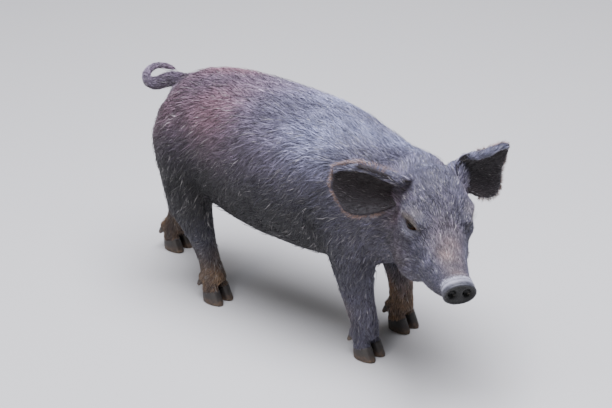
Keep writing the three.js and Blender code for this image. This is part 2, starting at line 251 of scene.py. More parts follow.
# %% Draw the skin in by the coat's depth
BODY_COAT, FACE_COAT, FOOT_COAT = 3.0 * MM, 1.6 * MM, 0.6 * MM
low_foot_weight = 1 - smooth_step(grid_z, 24 * MM, 90 * MM)
coat_depth = BODY_COAT - (BODY_COAT - FACE_COAT) * face_weight
coat_depth = coat_depth - (BODY_COAT - FOOT_COAT) * np.maximum(low_foot_weight, tail_weight)
skin += np.maximum(coat_depth, FOOT_COAT)
print("drawn in by", round(FOOT_COAT / MM, 1), "to", round(BODY_COAT / MM, 1), "mm")

# %% [markdown]
# From here on the field is clay. A bead is a chain of round rods with a radius at each
# point. Added softly it is a ridge, a lid or a muscle, and taken away softly it is a
# crease. Softness is the width over which the two shapes run into each other. Only the
# cells near the bead are touched, so a hundred small forms cost little.

# %% Beads of clay
def soft_union(a, b, softness):
    """Both shapes as one, run together over the softness."""
    overlap = np.maximum(softness - np.abs(a - b), 0) / softness
    return np.minimum(a, b) - overlap * overlap * softness / 4


def near(points, reach):
    """The block of cells within reach of the points, as slices and as three arrays."""
    lowest, highest = points.min(0) - reach, points.max(0) + reach
    part = []
    for i in range(3):
        span = [int((lowest[i] - axes[i][0]) / VOXEL), int((highest[i] - axes[i][0]) / VOXEL) + 2]
        part.append(slice(*np.clip(span, 0, cells[i])))
    return tuple(part), [grid_x[part[0]], grid_y[:, part[1]], grid_z[:, :, part[2]]]


def bead(points, radii, softness):
    """The block of cells round a chain of tapered rods, and the distance to it there."""
    points, radii = np.asarray(points, float), np.broadcast_to(radii, len(points)).astype(float)
    part, places = near(points, radii.max() + softness + 2 * VOXEL)
    distance = None
    for start, end, r0, r1 in zip(points, points[1:], radii, radii[1:]):
        along = end - start
        x, y, z = (place - start[i] for i, place in enumerate(places))
        t = np.clip((x * along[0] + y * along[1] + z * along[2]) / (along @ along), 0, 1)
        gap = np.sqrt((x - t * along[0]) ** 2 + (y - t * along[1]) ** 2 + (z - t * along[2]) ** 2)
        rod = gap - (r0 + (r1 - r0) * t)
        distance = rod if distance is None else np.minimum(distance, rod)
    return part, distance.astype(np.float32)


def add(points, radii, softness):
    """Lays a bead of clay on the skin."""
    part, shape = bead(points, radii, softness)
    skin[part] = soft_union(skin[part], shape, softness)


def carve(points, radii, softness):
    """Takes a bead out of the skin."""
    part, shape = bead(points, radii, softness)
    skin[part] = -soft_union(-skin[part], shape, softness)


one_block, _ = near(np.array([snout_tip]), 10 * MM)
print("a bead of 10 mm touches", skin[one_block].size, "of", skin.size, "cells")

# %% [markdown]
# The field also answers questions: how far a place is from the skin, and which way is
# out. With both, any point can be lifted to an exact height over the skin, which serves
# the creases now and the bristles later.

# %% Feel for the skin
def sampled(field, points):
    """The field's value at each place, between the cells around it."""
    spots = np.clip((points - [a[0] for a in axes]) / VOXEL, 0, np.array(cells) - 1.001)
    corner = spots.astype(int)
    part = (spots - corner).astype(np.float32)
    value = np.zeros(len(points), np.float32)
    for step in np.ndindex(2, 2, 2):
        weight = np.prod(np.where(step, part, 1 - part), axis=1)
        value += weight * field[tuple((corner + step).T)]
    return value


def slope_of(points):
    """The direction in which the field rises fastest, which is straight out of the skin."""
    slope = np.stack([
        sampled(skin, points + step) - sampled(skin, points - step) for step in np.eye(3) * VOXEL
    ], 1).astype(float)
    return slope / np.maximum(np.linalg.norm(slope, axis=1, keepdims=True), 1e-9)


def lifted(points, height):
    """The points moved straight in or out to this height over the skin."""
    for _ in range(2):
        outward = slope_of(points)
        points = points + outward * (height - sampled(skin, points))[:, None]
    return points, outward


print("the snout tip lies", round(float(sampled(skin, snout_tip[None])[0]) / MM, 1), "mm outside the skin")

# %% [markdown]
# Creases follow smooth lines. A few points are enough to describe one: a curve goes
# through them, is laid on the skin, and is carved deepest in its middle. What the head
# has on one side it has on the other.

# %% Curves and creases
def curve_through(points, count=16):
    """More points on a smooth curve through the given ones."""
    points = np.asarray(points, float)
    padded = np.vstack([2 * points[0] - points[1], points, 2 * points[-1] - points[-2]])
    curve = []
    for spot in np.linspace(0, len(points) - 1, count):
        i = min(int(spot), len(points) - 2)
        t = spot - i
        a, b, c, d = padded[i:i + 4]
        curve.append(b + 0.5 * t * (c - a + t * (2 * a - 5 * b + 4 * c - d + t * (3 * (b - c) + d - a))))
    return np.array(curve)


def groove(points, radius, softness, count=14):
    """A crease that runs along the skin itself, deepest in its middle."""
    line, _ = lifted(curve_through(points, count), 0)
    swell = np.sin(np.linspace(0.25, math.pi - 0.25, count))
    carve(line, radius * swell, softness)


def mirrored(points):
    """The same places, in millimetres in the head's frame, on its right and left."""
    points = np.asarray(points, float) * MM
    return [(side, from_head(points * [1, side, 1])) for side in (-1, 1)]


print("a curve through 3 points has", len(curve_through([(0, 0, 0), (1, 1, 0), (2, 0, 0)])), "points")

# %% [markdown]
# The ears are leaves of skin and cartilage, thin at the rim and thick where they grow out
# of the skull. They are closed and softened on their own and then joined to the head, with
# a swelling at the root for the muscles that turn them.

# %% Ears
EAR_SOFTENING, EAR_GROWTH = 0.8 * MM, 0.7 * MM  # the growth makes up for what the softening takes off
EAR_ROOTS = {
    "right_ear": [(-174, -36, 60), (-166, -42, 46), (-158, -46, 30)],
    "left_ear": [(-184, 33, 66), (-174, 38, 54), (-164, 43, 38)],
}
ear_points, ear_triangles = mesh_of(EARS)
ears_as_built = field_of(ear_points, triangles=ear_triangles)
ears = blurred(ears_as_built, EAR_SOFTENING) - EAR_GROWTH
skin = soft_union(skin, ears, 4 * MM)
for root in EAR_ROOTS.values():
    add(curve_through(from_head(np.array(root) * MM), 6), [6 * MM] * 6, 10 * MM)
del ears
print("ears from", len(ear_triangles), "triangles")

# %% [markdown]
# The upper rim of each ear rolls over backwards, which leaves a soft round fold above the
# dark hollow. Seen square on, the rim is the highest point of the ear at each distance
# from its root.

# %% Rolled ear rims
# in the head's frame, the way from root to tip and the way that the hollow faces
EAR_BEND = {"right_ear": (-0.2, -0.97, 0.14), "left_ear": (-0.4, 0.85, -0.27)}
EAR_OPEN = {"right_ear": (0.9, -0.05, 0.39), "left_ear": (0.73, 0.2, 0.49)}
# radii of the roll in millimetres, from root to tip
ROLL = {"right_ear": (6.5, 6.5, 5.5, 4.2, 2.6), "left_ear": (4.5, 4.5, 4.0, 2.8, 1.2)}


def upper_rim(ear, count=9):
    """Places along an ear's upper rim, from near the root to near the tip, and the way up there."""
    points = mesh_of([ear])[0].astype(float)
    bend = head_axes @ np.array(EAR_BEND[ear])
    facing = head_axes @ np.array(EAR_OPEN[ear])
    upward = np.cross(facing, bend)
    upward *= np.sign(upward[2]) / np.linalg.norm(upward)
    along = points @ bend
    places = []
    for spot in np.linspace(along.min() + 16 * MM, along.max() - 3 * MM, count):
        group = points[np.abs(along - spot) < 5 * MM]
        places.append(group[np.argmax(group @ upward)])
    return np.array(places), upward


for ear in EARS:
    rim_places, upward = upper_rim(ear)
    radii = np.interp(np.linspace(0, 1, 24), np.linspace(0, 1, 5), ROLL[ear]) * MM
    middle_line = curve_through(rim_places, 24) - upward * radii[:, None] * 0.9
    add(middle_line, radii, 3 * MM)
    print(ear, "rolled along", round(float(np.linalg.norm(middle_line[-1] - middle_line[0])) / MM), "mm")

# %% [markdown]
# A pig's eye is small and deep. The lids are thick folds round the eyeball, the upper one
# under a heavy brow and the lower one over a soft bag, and the opening is a long slanting
# slit. It faces half forward, with its inner corner a little lower, so it has a frame of
# its own: along the slit, out of it, and across it.

# %% The frame of an eye's opening
EYEBALL, LID = 11 * MM, 1.6 * MM
SLIT_HALF_LENGTH, SLIT_UPPER, SLIT_LOWER = 13.5 * MM, 6.4 * MM, 5.2 * MM
SLIT_TURN, SLIT_TILT = math.radians(30), math.radians(-4)


def eye_axes(side):
    """An opening's own frame as columns: forward along it, outward through it, and up."""
    ahead, outward, up = head_axes[:, 0], head_axes[:, 1] * side, head_axes[:, 2]
    inward = ahead * math.cos(SLIT_TURN) - outward * math.sin(SLIT_TURN)
    through = outward * math.cos(SLIT_TURN) + ahead * math.sin(SLIT_TURN)
    along = inward * math.cos(SLIT_TILT) + up * math.sin(SLIT_TILT)
    across = up * math.cos(SLIT_TILT) - inward * math.sin(SLIT_TILT)
    return np.stack([along, through, across], 1)


print("the right opening faces along", eye_axes(-1)[:, 1].round(2))

# %% [markdown]
# The brow, the bag and the lid's skin over the ball are laid on in clay. Two rings of
# creases above and below give the lids their folds, and a dip in front of the inner
# corner leads down to the cheek.

# %% Brow, lids and their folds
BROW = [(-140, 44, 33), (-124, 44.5, 39.5), (-104, 34.5, 36.5)]
BAG = [(-134, 48, 17), (-122, 49, 11.5), (-106, 43, 13)]
CORNER_DIP = [(-103, 49, 25), (-99, 48, 20)]
LID_CREASES = [  # half length and rise in millimetres, start and end angles round the eye
    (17, 9.5, 20, 165), (22, 15.5, 35, 155), (17, 8.5, 195, 340), (22, 14, 205, 325),
]
CREASE_OUT = 14.0  # millimetres from the middle of the ball, before the crease is laid on the skin
for side, brow in mirrored(BROW):
    add(curve_through(brow, 8), 5 * MM, 13 * MM)
for side, bag in mirrored(BAG):
    add(curve_through(bag, 8), 4.5 * MM, 7 * MM)
for eye in EYES:
    centre = middle(eye)
    add([centre, centre + 1e-5], EYEBALL + LID, 5 * MM)
for eye, side in zip(EYES, (-1, 1)):
    for half_length, rise, start, end in LID_CREASES:
        turns = np.radians(np.linspace(start, end, 12))
        ring = np.stack([np.cos(turns) * half_length, np.full(12, CREASE_OUT), np.sin(turns) * rise], 1) * MM
        groove(middle(eye) + ring @ eye_axes(side).T, 1.5 * MM, 2.4 * MM, 24)
for side, dip in mirrored(CORNER_DIP):
    carve(curve_through(dip, 6), 7 * MM, 6 * MM)
print(len(LID_CREASES), "creases round each eye")

# %% [markdown]
# The slit is cut through the lids, and the socket is hollowed just wider than the ball,
# so that the ball sits in it without touching.

# %% Cut the slits
SOCKET_GAP, LID_EDGE = 0.3 * MM, 0.8 * MM


def cut_slit(centre, side):
    """Opens the lids along the slit and hollows the socket for the ball."""
    part, (x, y, z) = near(np.array([centre]), EYEBALL + 8 * MM)
    dx, dy, dz = x - centre[0], y - centre[1], z - centre[2]
    along, outward, across = (axis[0] * dx + axis[1] * dy + axis[2] * dz for axis in eye_axes(side).T)
    narrowing = 1 - np.minimum((along / SLIT_HALF_LENGTH) ** 2, 1.5)
    half_height = np.where(across > 0, SLIT_UPPER, SLIT_LOWER) * narrowing
    opening = np.maximum(np.abs(across) - half_height, 3 * MM - outward)
    socket = np.sqrt(dx * dx + dy * dy + dz * dz) - (EYEBALL + SOCKET_GAP)
    hollow = np.minimum(socket, opening).astype(np.float32)
    skin[part] = -soft_union(-skin[part], hollow, LID_EDGE)


for eye, side in zip(EYES, (-1, 1)):
    cut_slit(middle(eye), side)
print("lid opening", round(2 * SLIT_HALF_LENGTH / MM), "by", round((SLIT_UPPER + SLIT_LOWER) / MM, 1), "mm")

# %% [markdown]
# The snout disc is a pad of gristle with a raised rim. Behind it the loose skin of the
# muzzle is pushed together into rings, which show most on top, and a narrow gutter parts
# the pad from the first of them. Further back the bridge of the nose is finely wrinkled.

# %% Snout disc and its rings
DISC_HALF_WIDTH, DISC_HALF_HEIGHT = 25.5, 20.5  # millimetres, as in the solids
RIM_INSET = 2.6  # how far inside the disc's edge the rim's middle runs, in millimetres
SKIN_RINGS = [(10, 2.3, 205), (15.5, 2.2, 190), (21.5, 2.2, 165)]  # place behind the disc, radius, degrees
NOSE_WRINKLES = [(34, 1.3), (43, 1.5), (53, 1.6)]  # place behind the disc, radius


def ring_round_snout(behind, width, height, start, end, count=28):
    """Points of an arc round the muzzle; angles run from the right over the top to the left."""
    angles = np.radians(np.linspace(start, end, count))
    places = np.stack([np.full(count, -behind), -np.cos(angles) * width, np.sin(angles) * height], 1)
    return from_head(places * MM)


rim_ring = ring_round_snout(1.9, DISC_HALF_WIDTH - RIM_INSET, DISC_HALF_HEIGHT - RIM_INSET, 0, 360, 48)
add(rim_ring, 1.5 * MM, 2 * MM)
for behind, radius, spread in SKIN_RINGS:
    start = 90 - spread / 2
    taper = np.sin(np.linspace(0.15, math.pi - 0.15, 28))
    rise = behind * 0.03
    width, height = DISC_HALF_WIDTH - RIM_INSET - rise, DISC_HALF_HEIGHT - 2.4 - rise
    add(ring_round_snout(behind, width, height, start, start + spread), radius * taper * MM, 1.6 * MM)
gutter = ring_round_snout(6.2, DISC_HALF_WIDTH - 0.6, DISC_HALF_HEIGHT - 0.6, -30, 210)
carve(gutter, 1.0 * MM, 1.2 * MM)
print(len(SKIN_RINGS), "rings behind a disc of", 2 * DISC_HALF_WIDTH, "by", 2 * DISC_HALF_HEIGHT, "mm")

# %% [markdown]
# The mouth is a long line under the muzzle that turns up a little at its corner. The upper
# lip hangs over it as a soft ridge. Behind the corner the cheek folds.

# %% Mouth and cheeks
MOUTH = [(-16, 13, -21), (-28, 22, -27), (-46, 27.5, -33), (-66, 32.5, -38.5), (-82, 38, -37)]
CHEEK_FOLD = [(-88, 42, -26), (-104, 50.5, -40), (-118, 54, -56)]
for side, lips in mirrored(MOUTH):
    line, outward = lifted(curve_through(lips, 24), 0)
    add(line + head_axes[:, 2] * 3 * MM - outward * 1.2 * MM, 2.4 * MM, 4 * MM)
    carve(line, np.linspace(1.9, 1.2, 24) * MM, 1.4 * MM)
for side, fold in mirrored(CHEEK_FOLD):
    groove(fold, 2.4 * MM, 7 * MM)
for behind, radius in NOSE_WRINKLES:
    height = 20.5 + (behind - 20) * 0.14
    wrinkle = ring_round_snout(behind, 24 + behind * 0.06, height, 55, 125, 14)
    carve(wrinkle, radius * np.sin(np.linspace(0.2, math.pi - 0.2, 14)) * MM, 4 * MM)
print("the mouth is", round(float(np.linalg.norm(np.diff(np.array(MOUTH), axis=0), axis=1).sum())), "mm long")

# %% [markdown]
# On the body the skin folds where the legs swing: behind the elbow and in front of the
# thigh. Each fold is deepest in its middle and runs out at its ends.

# %% Folds behind the elbows and before the thighs
BODY_MIDDLE_Y = float((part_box("trunk")[0].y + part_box("trunk")[1].y) / 2)
ELBOW_FOLD = [(0.062, 84, 0.205), (0.060, 88, 0.172), (0.068, 82, 0.142)]  # y in mm from the body's middle
THIGH_FOLD = [(-0.130, 92, 0.232), (-0.143, 88, 0.196), (-0.160, 74, 0.162)]
fold_depth = np.interp(np.linspace(0, 1, 10), [0, 0.5, 1], [0.6, 1, 0.5])
for side in (-1, 1):
    for fold, radius in ((ELBOW_FOLD, 3.2), (THIGH_FOLD, 3.6)):
        line = [(x, BODY_MIDDLE_Y + side * y * MM, z) for x, y, z in fold]
        carve(curve_through(line, 10), fold_depth * radius * MM, 12 * MM)
print("the body's middle lies at y =", round(BODY_MIDDLE_Y, 4))

# %% [markdown]
# Under the belly a pig has two rows of teats. Each stands on the lowest skin at its place,
# which is found by going up a column of cells until the flesh begins.

# %% Teats
TEATS_IN_ROW, ROWS_APART = 6, 42 * MM
for side in (-1, 1):
    for x in np.linspace(-0.125, 0.045, TEATS_IN_ROW):
        y = BODY_MIDDLE_Y + side * ROWS_APART / 2
        column = skin[int((x - axes[0][0]) / VOXEL), int((y - axes[1][0]) / VOXEL), :]
        belly = axes[2][np.argmax(column < 0)]
        add([(x, y, belly + 2 * MM), (x, y, belly - 2.6 * MM)], [3.4 * MM, 2 * MM], 2.5 * MM)
print(2 * TEATS_IN_ROW, "teats, the last one under skin at z =", round(float(belly), 3))

# %% [markdown]
# The two small rear claws of a foot don't reach the ground. Each sits on a pad of skin
# that stands off the back of the leg.

# %% Pads of the rear claws
def leg_middle(limb, height):
    """The middle of a leg at a height, from the solid's own vertices."""
    points = mesh_of([f"{limb}_leg"])[0]
    slice_of_leg = points[np.abs(points[:, 2] - height) < 16 * MM]
    return np.append((slice_of_leg[:, :2].min(0) + slice_of_leg[:, :2].max(0)) / 2, height)


for node in DEWCLAWS:
    claw_low, claw_high = (np.array(corner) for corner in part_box(node))
    limb = node.rsplit("_", 2)[0]
    claw_top = np.array([claw_high[0] - 4 * MM, (claw_low[1] + claw_high[1]) / 2, claw_high[2] - 3 * MM])
    add([leg_middle(limb, claw_high[2] + 4 * MM), claw_top], [9 * MM, 5.5 * MM], 9 * MM)
print(len(DEWCLAWS), "pads")

# %% [markdown]
# The skin of a foot ends in a soft band that grows the horn. The field is cut there along
# a plane that rises towards the toes.

# %% Trim the feet at the coronet
CORONET, CORONET_SLOPE, OVERHANG = 21 * MM, 0.3, 2.2 * MM
SLOPE_SHORTENING = 0.95  # a tilted plane's distance is a little less than its drop along z
for limb in LIMBS:
    toe_low, toe_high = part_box(f"{limb}_outer_claw")
    _, inner_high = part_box(f"{limb}_inner_claw")
    foot = np.array([(toe_low.x + toe_high.x) / 2, (toe_low.y + inner_high.y) / 2, CORONET])
    part, (x, y, z) = near(np.array([foot]), 46 * MM)
    below = (CORONET - OVERHANG + CORONET_SLOPE * (x - foot[0] + 4 * MM) - z) * SLOPE_SHORTENING
    skin[part] = np.maximum(skin[part], below + 0 * y)
print("skin ends", round(CORONET / MM), "mm above the ground")

# %% [markdown]
# The surface is now taken out of the field as one mesh of even quads, kept inside the box
# of the solids. It stands for all the flesh and both ears.

# %% The skin as a mesh
def new_piece(name, points, faces, replaced=()):
    """A mesh object that rides on the pig and stands for the named solids."""
    mesh = bpy.data.meshes.new(name)
    sides = faces.shape[1]
    mesh.vertices.add(len(points))
    mesh.vertices.foreach_set("co", np.ascontiguousarray(points, np.float32).ravel())
    mesh.loops.add(faces.size)
    mesh.loops.foreach_set("vertex_index", np.ascontiguousarray(faces, np.int32).ravel())
    mesh.polygons.add(len(faces))
    mesh.polygons.foreach_set("loop_start", np.arange(0, faces.size, sides, dtype=np.int32))
    mesh.update(calc_edges=True)
    mesh.shade_smooth()
    piece = bpy.data.objects.new(name, mesh)
    bpy.context.scene.collection.objects.link(piece)
    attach(piece, "root")
    if replaced:
        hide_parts(*replaced)
    return piece


skin_points, skin_quads = surface_of(skin)
skin_points = np.clip(skin_points, *np.array(solid_box))
skin_piece = new_piece("skin", skin_points, skin_quads, FLESH + EARS)
print("skin:", len(skin_points), "points,", len(skin_quads), "quads")

# %% [markdown]
# Colours are written as hex values, as a painter would mix them on a screen, and turned
# to the linear values that light adds up in.

# %% Colours
def linear(colour):
    """An sRGB hex colour as linear red, green, blue."""
    parts = np.array([int(colour[i:i + 2], 16) for i in (1, 3, 5)]) / 255
    return np.where(parts <= 0.04045, parts / 12.92, ((parts + 0.055) / 1.055) ** 2.4)


# The blue-grey is a painted highlight for the sky's sheen along the back, and the dark slate is painted shade
# on the lower body.
SLATE, LOW_SHADE_SLATE, SKY_SHEEN_BLUE = linear("#4b4957"), linear("#25262f"), linear("#616478")
MAUVE, MUD, NOSE_PINK = linear("#684f57"), linear("#6a5540"), linear("#7d6a66")
# The pale collar colour is a painted highlight for the shine of the wet skin of the snout.
COLLAR_HIGHLIGHT, DISC_GREY = linear("#d0d0de"), linear("#0e0f0e")
# The ear fold colour is a painted highlight on the upward-facing skin of the ears.
EAR_FOLD_HIGHLIGHT, LID_TAN, LID_GREY = linear("#a39dac"), linear("#8f857b"), linear("#7b7a84")
# The ear dark is painted shade, in the hollow of the ears and in the crease of the mouth.
EAR_DARK, EAR_RIM, PALE_BRISTLE = linear("#241d1c"), linear("#8f7465"), linear("#aaa6a4")
print("slate in linear light:", SLATE.round(3))

# %% [markdown]
# Markings on an animal have soft edges and wander. Four small functions are enough to
# place them: the distance to a line, a smooth noise, a blend of two colours, and a bump
# that is 1 in the middle and fades out.

# %% Soft patterns
def nearest_on(route, points):
    """For each point, the number of the nearest place on a route and the distance to it."""
    gaps = np.linalg.norm(points[:, None, :] - route[None], axis=2)
    return gaps.argmin(1), gaps.min(1)


def waves(points, scale, seed):
    """Smooth noise from -1 to 1, about scale from crest to crest, as a sum of plane waves."""
    chance = np.random.default_rng(seed)
    total = np.zeros(len(points))
    for _ in range(7):
        heading = chance.normal(size=3)
        heading *= chance.uniform(0.7, 1.5) * 2 * math.pi / (scale * np.linalg.norm(heading))
        total += np.sin(points @ heading + chance.uniform(0, 2 * math.pi))
    return total / 3.2


def blend(colours, tint, weight):
    """The colours with this much of a tint, from 0 to 1, mixed in."""
    return colours + (tint - colours) * np.clip(weight, 0, 1)[:, None]


def bump_of(distance, width):
    """1 where the distance is 0, and hardly anything two widths away."""
    return np.exp(-(distance / width) ** 2)


def one_colour(colour, count):
    """The same colour for each of so many points."""
    return np.repeat(linear(colour)[None], count, 0)


print("noise on the skin reaches", round(float(np.abs(waves(skin_points[::50], 0.11, 3)).max()), 2))

# %% [markdown]
# One colouring serves the skin and the coat, so that both carry the same markings. It
# takes places and returns colours. The body is slate with a violet cast. It has a painted
# blue-grey highlight along the back for the sheen of the sky, and painted shade darkening it
# towards the belly. There is a reddish patch over the hips, brown behind the ears, and
# dried mud on the lower legs.

# %% Markings of the body
def hips_of(points):
    """1 on the reddish patch over the hips, fading out round it."""
    x, _, z = points.T
    return bump_of(np.hypot(x + 0.18, (z - 0.33) * 1.3), 0.13)


def body_colour_and_painted_light(points, in_head, patchy, fine):
    """The colours of the body, legs and neck, with a painted sheen on the back and painted shade below."""
    x, _, z = points.T
    ahead, left, up = in_head
    colours = np.repeat(SLATE[None], len(points), 0)
    # Painted highlight: a blue-grey sky sheen laid along the top of the back.
    sky_sheen_on_back = smooth_step(z, 0.27, 0.36) * (0.75 + 0.4 * patchy) * smooth_step(x, -0.14, 0.08)
    colours = blend(colours, SKY_SHEEN_BLUE, sky_sheen_on_back)
    # Painted shade: darker towards the belly and the ground.
    colours = blend(colours, LOW_SHADE_SLATE, smooth_step(-z, -0.24, -0.12) * 0.75)
    colours = blend(colours, MAUVE, hips_of(points) * (0.78 + 0.35 * patchy))
    behind_ears = bump_of(np.hypot(np.hypot(ahead + 205, np.abs(left) - 62), up - 30), 34)
    colours = blend(colours, MAUVE * 0.75, behind_ears * (0.55 + 0.3 * patchy))
    mud = smooth_step(-z, -0.125 - 0.02 * patchy, -0.05) * (0.75 + 0.3 * fine)
    splashes = smooth_step(waves(points, 0.06, 9) - (z - 0.1) * 9, 0.9, 1.5) * (z < 0.2)
    return blend(colours, MUD, np.maximum(mud, 0.75 * splashes) * (x < 0.2))


print("the patch on the hips covers", int((hips_of(skin_points[::50]) > 0.5).sum() * 50), "points")

# %% [markdown]
# The face has a pinkish brown bridge of the nose, mauve temples and browner jowls. Behind
# the dark snout disc, the wet rings of skin carry a pale painted highlight on top, with dark
# between them, and the disc's edge carries a fainter one. The lids are tan above and grey
# below, and the crease of the mouth is darkened with painted shade.

# %% Markings of the head
def face_marking(colours, in_head, patchy, fine):
    """The colours with those of the face laid over them."""
    ahead, left, up = in_head
    face = smooth_step(ahead, -205, -150)
    colours = blend(colours, SLATE * 1.05, face)
    bridge = bump_of(np.hypot((ahead + 48) / 1.9, left), 24) * smooth_step(up, 2, 20)
    colours = blend(colours, NOSE_PINK * 0.85, face * bridge * (0.8 + 0.25 * fine))
    temple = bump_of(np.hypot(np.hypot(ahead + 158, np.abs(left) - 52), up - 22), 30)
    colours = blend(colours, MAUVE * 0.75, face * temple * (0.6 + 0.3 * fine))
    jowl = bump_of(np.hypot(np.hypot(ahead + 120, np.abs(left) - 50), up + 40), 30)
    return blend(colours, NOSE_PINK * 0.6, face * jowl * (0.3 + 0.35 * patchy))


def snout_colour_and_highlight(colours, in_head):
    """The colours with a painted highlight on the collar's rings and the disc's edge, and the dark disc, laid
    over them.
    """
    ahead, left, up = in_head
    from_axis = np.hypot(left, up)
    # Painted highlight: pale on the crests of the rings, on top of the muzzle only.
    ringed = 0.72 + 0.28 * np.cos((ahead + 10) * 2 * math.pi / 5.5)
    collar = smooth_step(ahead, -22, -15) * smooth_step(up, -10, 10) * smooth_step(from_axis, 15, 18)
    colours = blend(colours, COLLAR_HIGHLIGHT, collar * ringed * 0.95)
    on_disc, in_nostrils = smooth_step(ahead, -8, -5.5), (ahead > -24) * (from_axis < 16)
    colours = blend(colours, DISC_GREY, np.maximum(on_disc, in_nostrils))
    # A fainter painted highlight round the disc's edge.
    to_edge = smooth_step(np.hypot(left / DISC_HALF_WIDTH, up / DISC_HALF_HEIGHT), 0.8, 0.95)
    return blend(colours, COLLAR_HIGHLIGHT, smooth_step(ahead, -7.5, -5.5) * to_edge * 0.2)


def lid_colour_and_mouth_shade(colours, in_head):
    """The colours with those of the eyelids, and the painted shade in the mouth's crease, laid over them."""
    ahead, left, up = in_head
    gap_to_mouth = nearest_on(curve_through(MOUTH, 24), np.stack([ahead, np.abs(left), up], 1))[1]
    # Painted shade: the crease of the mouth darkened.
    colours = blend(colours, EAR_DARK, bump_of(gap_to_mouth, 3.0) * 0.9)
    gap_to_eye = np.hypot(np.hypot(ahead - EYE_AHEAD, np.abs(left) - EYE_ASIDE), up - EYE_UP)
    lids = bump_of(gap_to_eye - 14, 6) * (ahead < -98)
    colours = blend(colours, LID_TAN, lids * smooth_step(up, 22, 30) * 0.75)
    return blend(colours, LID_GREY, lids * smooth_step(-up, -26, -20) * 0.6)


on_bridge = np.array([[-48.0], [0.0], [22.0]])
print("the bridge of the nose:", face_marking(SLATE[None], on_bridge, np.zeros(1), np.zeros(1)).round(3)[0])

# %% [markdown]
# The back is painted much lighter, as a painted highlight for the sheen of the sky along
# the top, while the lower body stays nearly black with painted shade. The legs and
# shoulders are lighter again under their dust. So the colours are multiplied by this
# painted light and shade with the dust, and by a little unevenness.

# %% All the markings
DARKEST, LIGHTEST = 0.002, 1  # what a dry surface can be, in linear light


def sheen_shade_and_dust(points, ahead):
    """How light each place is, 1 being as the colour was mixed: a painted highlight along the back, painted
    shade low on the body, and dust on the legs and shoulders.
    """
    x, _, z = points.T
    # Painted highlight rising towards the top of the back, painted shade below it; the lower legs lighter
    # with dust.
    lightness = 0.16 + 2.3 * smooth_step(z, 0.22, 0.365) + 1.05 * smooth_step(-z, -0.17, -0.1)
    lightness -= 0.35 * hips_of(points)
    lightness += 0.85 * smooth_step(x, 0.06, 0.14) * smooth_step(-z, -0.3, -0.22)
    on_face = 1.12
    return on_face + (lightness - on_face) * smooth_step(-ahead, 150, 210)


def marking(points, in_ear):
    """The coat's colour at each place, with painted light and shade in it. in_ear is 1 in the hollow of an
    ear, painted dark as shade, and -1 on its fold, painted light as a highlight.
    """
    in_head = into_head(points).T / MM
    patchy = waves(points, 0.11, 3)
    fine = waves(points, 0.03, 5)
    colours = body_colour_and_painted_light(points, in_head, patchy, fine)
    colours = face_marking(colours, in_head, patchy, fine)
    colours = snout_colour_and_highlight(colours, in_head)
    # Painted shade in the hollow of the ears, and a painted highlight on their upward-facing fold.
    colours = blend(colours, EAR_DARK, in_ear * 0.95)
    colours = blend(colours, EAR_FOLD_HIGHLIGHT, -in_ear * 0.85)
    colours = lid_colour_and_mouth_shade(colours, in_head)
    uneven = 1 + 0.1 * fine + 0.08 * patchy
    return np.clip(colours * (sheen_shade_and_dust(points, in_head[0]) * uneven)[:, None], DARKEST, LIGHTEST)


print("the middle of the back:", marking(np.array([[0, BODY_MIDDLE_Y, 0.35]]), np.zeros(1)).round(3)[0])

# %% [markdown]
# Every material is built from nodes. A single helper adds a node, sets it and links it. A
# second one starts a material, and a third turns the size of a pattern in millimetres
# into the scale that a texture node asks for.

# %% Node helper
FACTOR, FIRST, SECOND, MIXED = 0, 6, 7, 2  # sockets of a Mix node that mixes colours
SOFT_LIGHT = {"data_type": "RGBA", "blend_type": "SOFT_LIGHT"}


def add_node(tree, kind, inputs=None, **settings):
    """Adds a shader node. Inputs are plain values or another node's outputs."""
    node = tree.nodes.new("ShaderNode" + kind)
    for name, value in settings.items():
        setattr(node, name, value)
    for name, value in (inputs or {}).items():
        if isinstance(value, bpy.types.NodeSocket):
            tree.links.new(value, node.inputs[name])
        else:
            node.inputs[name].default_value = value
    return node


def new_material(name, values):
    """A material with one surface shader that has these values."""
    material = bpy.data.materials.new(name)
    material.use_nodes = True
    tree = material.node_tree
    tree.nodes.clear()
    surface = add_node(tree, "BsdfPrincipled", values)
    add_node(tree, "OutputMaterial", {"Surface": surface.outputs[0]})
    return material, tree, surface


def metres(size_in_mm):
    """A texture's scale for a pattern that repeats over this many millimetres."""
    return 1 / (size_in_mm * MM)


def paint(piece, colours, name="marking"):
    """Stores one colour for each point of a piece, for the materials to read."""
    attribute = piece.data.color_attributes.new(name, "FLOAT_COLOR", "POINT")
    opaque = np.column_stack([colours, np.ones(len(colours))]).astype(np.float32)
    attribute.data.foreach_set("color", opaque.ravel())


print("a pattern of 2 mm has the scale", metres(2))

# %% [markdown]
# Living skin under a thin coat: dull, finely wrinkled and set with pores. Skin has an
# index of refraction near 1.4. The wrinkles are cells about 1.8 mm wide, and under them
# runs a softer grain of about 6 mm. Both are only a fraction of a millimetre high, so they
# are drawn as bump.

